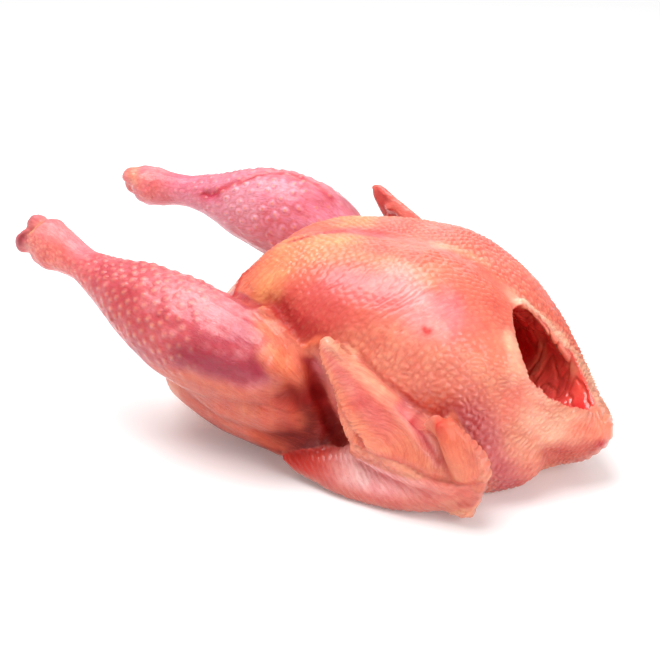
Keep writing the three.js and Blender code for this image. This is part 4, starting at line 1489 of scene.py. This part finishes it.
class TURKEY_OT_hollow(bpy.types.Operator):
    """Cut out the raw flesh inside the neck hollow and the vent"""

    bl_idname = "turkey.hollow"
    bl_label = "Flesh of the hollows"

    def execute(self, context):
        cut_out("hollow_flesh", skin_material("raw_flesh", True))
        bpy.data.meshes.remove(bpy.data.meshes[WHOLE])
        return {"FINISHED"}


# ---- stage, in metres and watts ------------------------------------------------------------------
FLOOR_REACH = 6.0
FLOOR_GREY = (0.92, 0.92, 0.92, 1)
FLOOR_GLOW = (0.25, 1.2, 0.13, 0.50)  # glow of 0.13 within 0.25 m of the bird, rising to 0.50 at 1.2 m
SKY_LIGHT = 0.42
LAMPS = (  # name, place, what it points at, width and power
    ("key", (-0.24, -0.14, 1.28), (0.0, 0.0, 0.08), 1.15, 18.0),
    ("fill", (1.15, -0.55, 0.70), (0.1, 0.0, 0.06), 0.7, 7.0),
    ("back", (-0.30, 1.25, 0.95), (0.0, 0.0, 0.08), 1.1, 4.5),
)
CAMERA_TURN = math.radians(27.0)
CAMERA_RISE = math.radians(24.0)
CAMERA_TARGET = (0.0062, 0.0, 0.074)
CAMERA_DISTANCE = 0.971
LENS, SENSOR = 68.7, 36.0  # millimetres


def aim(direction):
    """Turn that makes a lamp or a camera look in a direction."""
    return direction.to_track_quat("-Z", "Y").to_euler()


def add_floor():
    """A pale floor that glows a little more away from the bird."""
    s = FLOOR_REACH
    mesh = bpy.data.meshes.new("floor")
    mesh.from_pydata([(-s, -s, 0), (s, -s, 0), (s, s, 0), (-s, s, 0)], [], [(0, 1, 2, 3)])
    white = bpy.data.materials.new("floor_white")
    white.use_nodes = True
    make = Tree(white.node_tree)
    shader = white.node_tree.nodes["Principled BSDF"]
    shader.inputs["Base Color"].default_value = FLOOR_GREY
    shader.inputs["Roughness"].default_value = 0.9
    shader.inputs["Emission Color"].default_value = WHITE
    away = make.vector("LENGTH", make.node("ShaderNodeTexCoord").outputs["Object"])
    make.set(shader.inputs["Emission Strength"], make.step(away, *FLOOR_GLOW))
    mesh.materials.append(white)
    floor = add_object("floor", mesh)


def add_sky(scene):
    """Even white light from all sides."""
    sky = bpy.data.worlds.new("studio")
    sky.use_nodes = True
    background = sky.node_tree.nodes["Background"]
    background.inputs["Color"].default_value = WHITE
    background.inputs["Strength"].default_value = SKY_LIGHT
    scene.world = sky


def add_lamp(name, spot, target, width, watts):
    """A large round lamp."""
    data = bpy.data.lights.new(name, "AREA")
    data.shape = "DISK"
    data.size = width
    data.energy = watts
    lamp = add_object(name, data)
    lamp.location = spot
    lamp.rotation_euler = aim(Vector(target) - Vector(spot))


def add_camera(scene):
    """The camera, turned about the bird from straight in front of its left side."""
    level = math.cos(CAMERA_RISE)
    back = Vector((math.sin(CAMERA_TURN) * level, -math.cos(CAMERA_TURN) * level, math.sin(CAMERA_RISE)))
    data = bpy.data.cameras.new("camera")
    data.sensor_width = SENSOR
    data.lens = LENS
    data.clip_start = 0.02
    camera = add_object("camera", data)
    camera.location = Vector(CAMERA_TARGET) + back * CAMERA_DISTANCE
    camera.rotation_euler = aim(-back)
    scene.camera = camera


class TURKEY_OT_stage(bpy.types.Operator):
    """Make the floor, the light and the camera"""

    bl_idname = "turkey.stage"
    bl_label = "Stage"

    def execute(self, context):
        add_floor()
        add_sky(context.scene)
        for lamp in LAMPS:
            add_lamp(*lamp)
        add_camera(context.scene)
        context.scene.view_settings.view_transform = "Standard"
        return {"FINISHED"}


STEPS = (TURKEY_OT_body, TURKEY_OT_torso, TURKEY_OT_legs, TURKEY_OT_wings, TURKEY_OT_hollow, TURKEY_OT_stage)


class TURKEY_PT_panel(bpy.types.Panel):
    """Sizes, colours and steps of the raw turkey"""

    bl_idname = "TURKEY_PT_panel"
    bl_label = "Raw turkey"
    bl_space_type = "VIEW_3D"
    bl_region_type = "UI"
    bl_category = "Turkey"

    def draw(self, context):
        for name in TURKEY_PG_skin.__annotations__:
            self.layout.prop(context.scene.turkey_skin, name)
        for step in STEPS:
            self.layout.operator(step.bl_idname)


CLASSES = (TURKEY_PG_skin, *STEPS, TURKEY_PT_panel)


def register():
    for made in CLASSES:
        bpy.utils.register_class(made)
    bpy.types.Scene.turkey_skin = bpy.props.PointerProperty(type=TURKEY_PG_skin)


def unregister():
    del bpy.types.Scene.turkey_skin
    for made in reversed(CLASSES):
        bpy.utils.unregister_class(made)


def main():
    register()
    bpy.ops.turkey.body()
    bpy.ops.turkey.torso()
    bpy.ops.turkey.legs()
    bpy.ops.turkey.wings()
    bpy.ops.turkey.hollow()
    bpy.ops.turkey.stage()


if __name__ == "__main__":
    main()
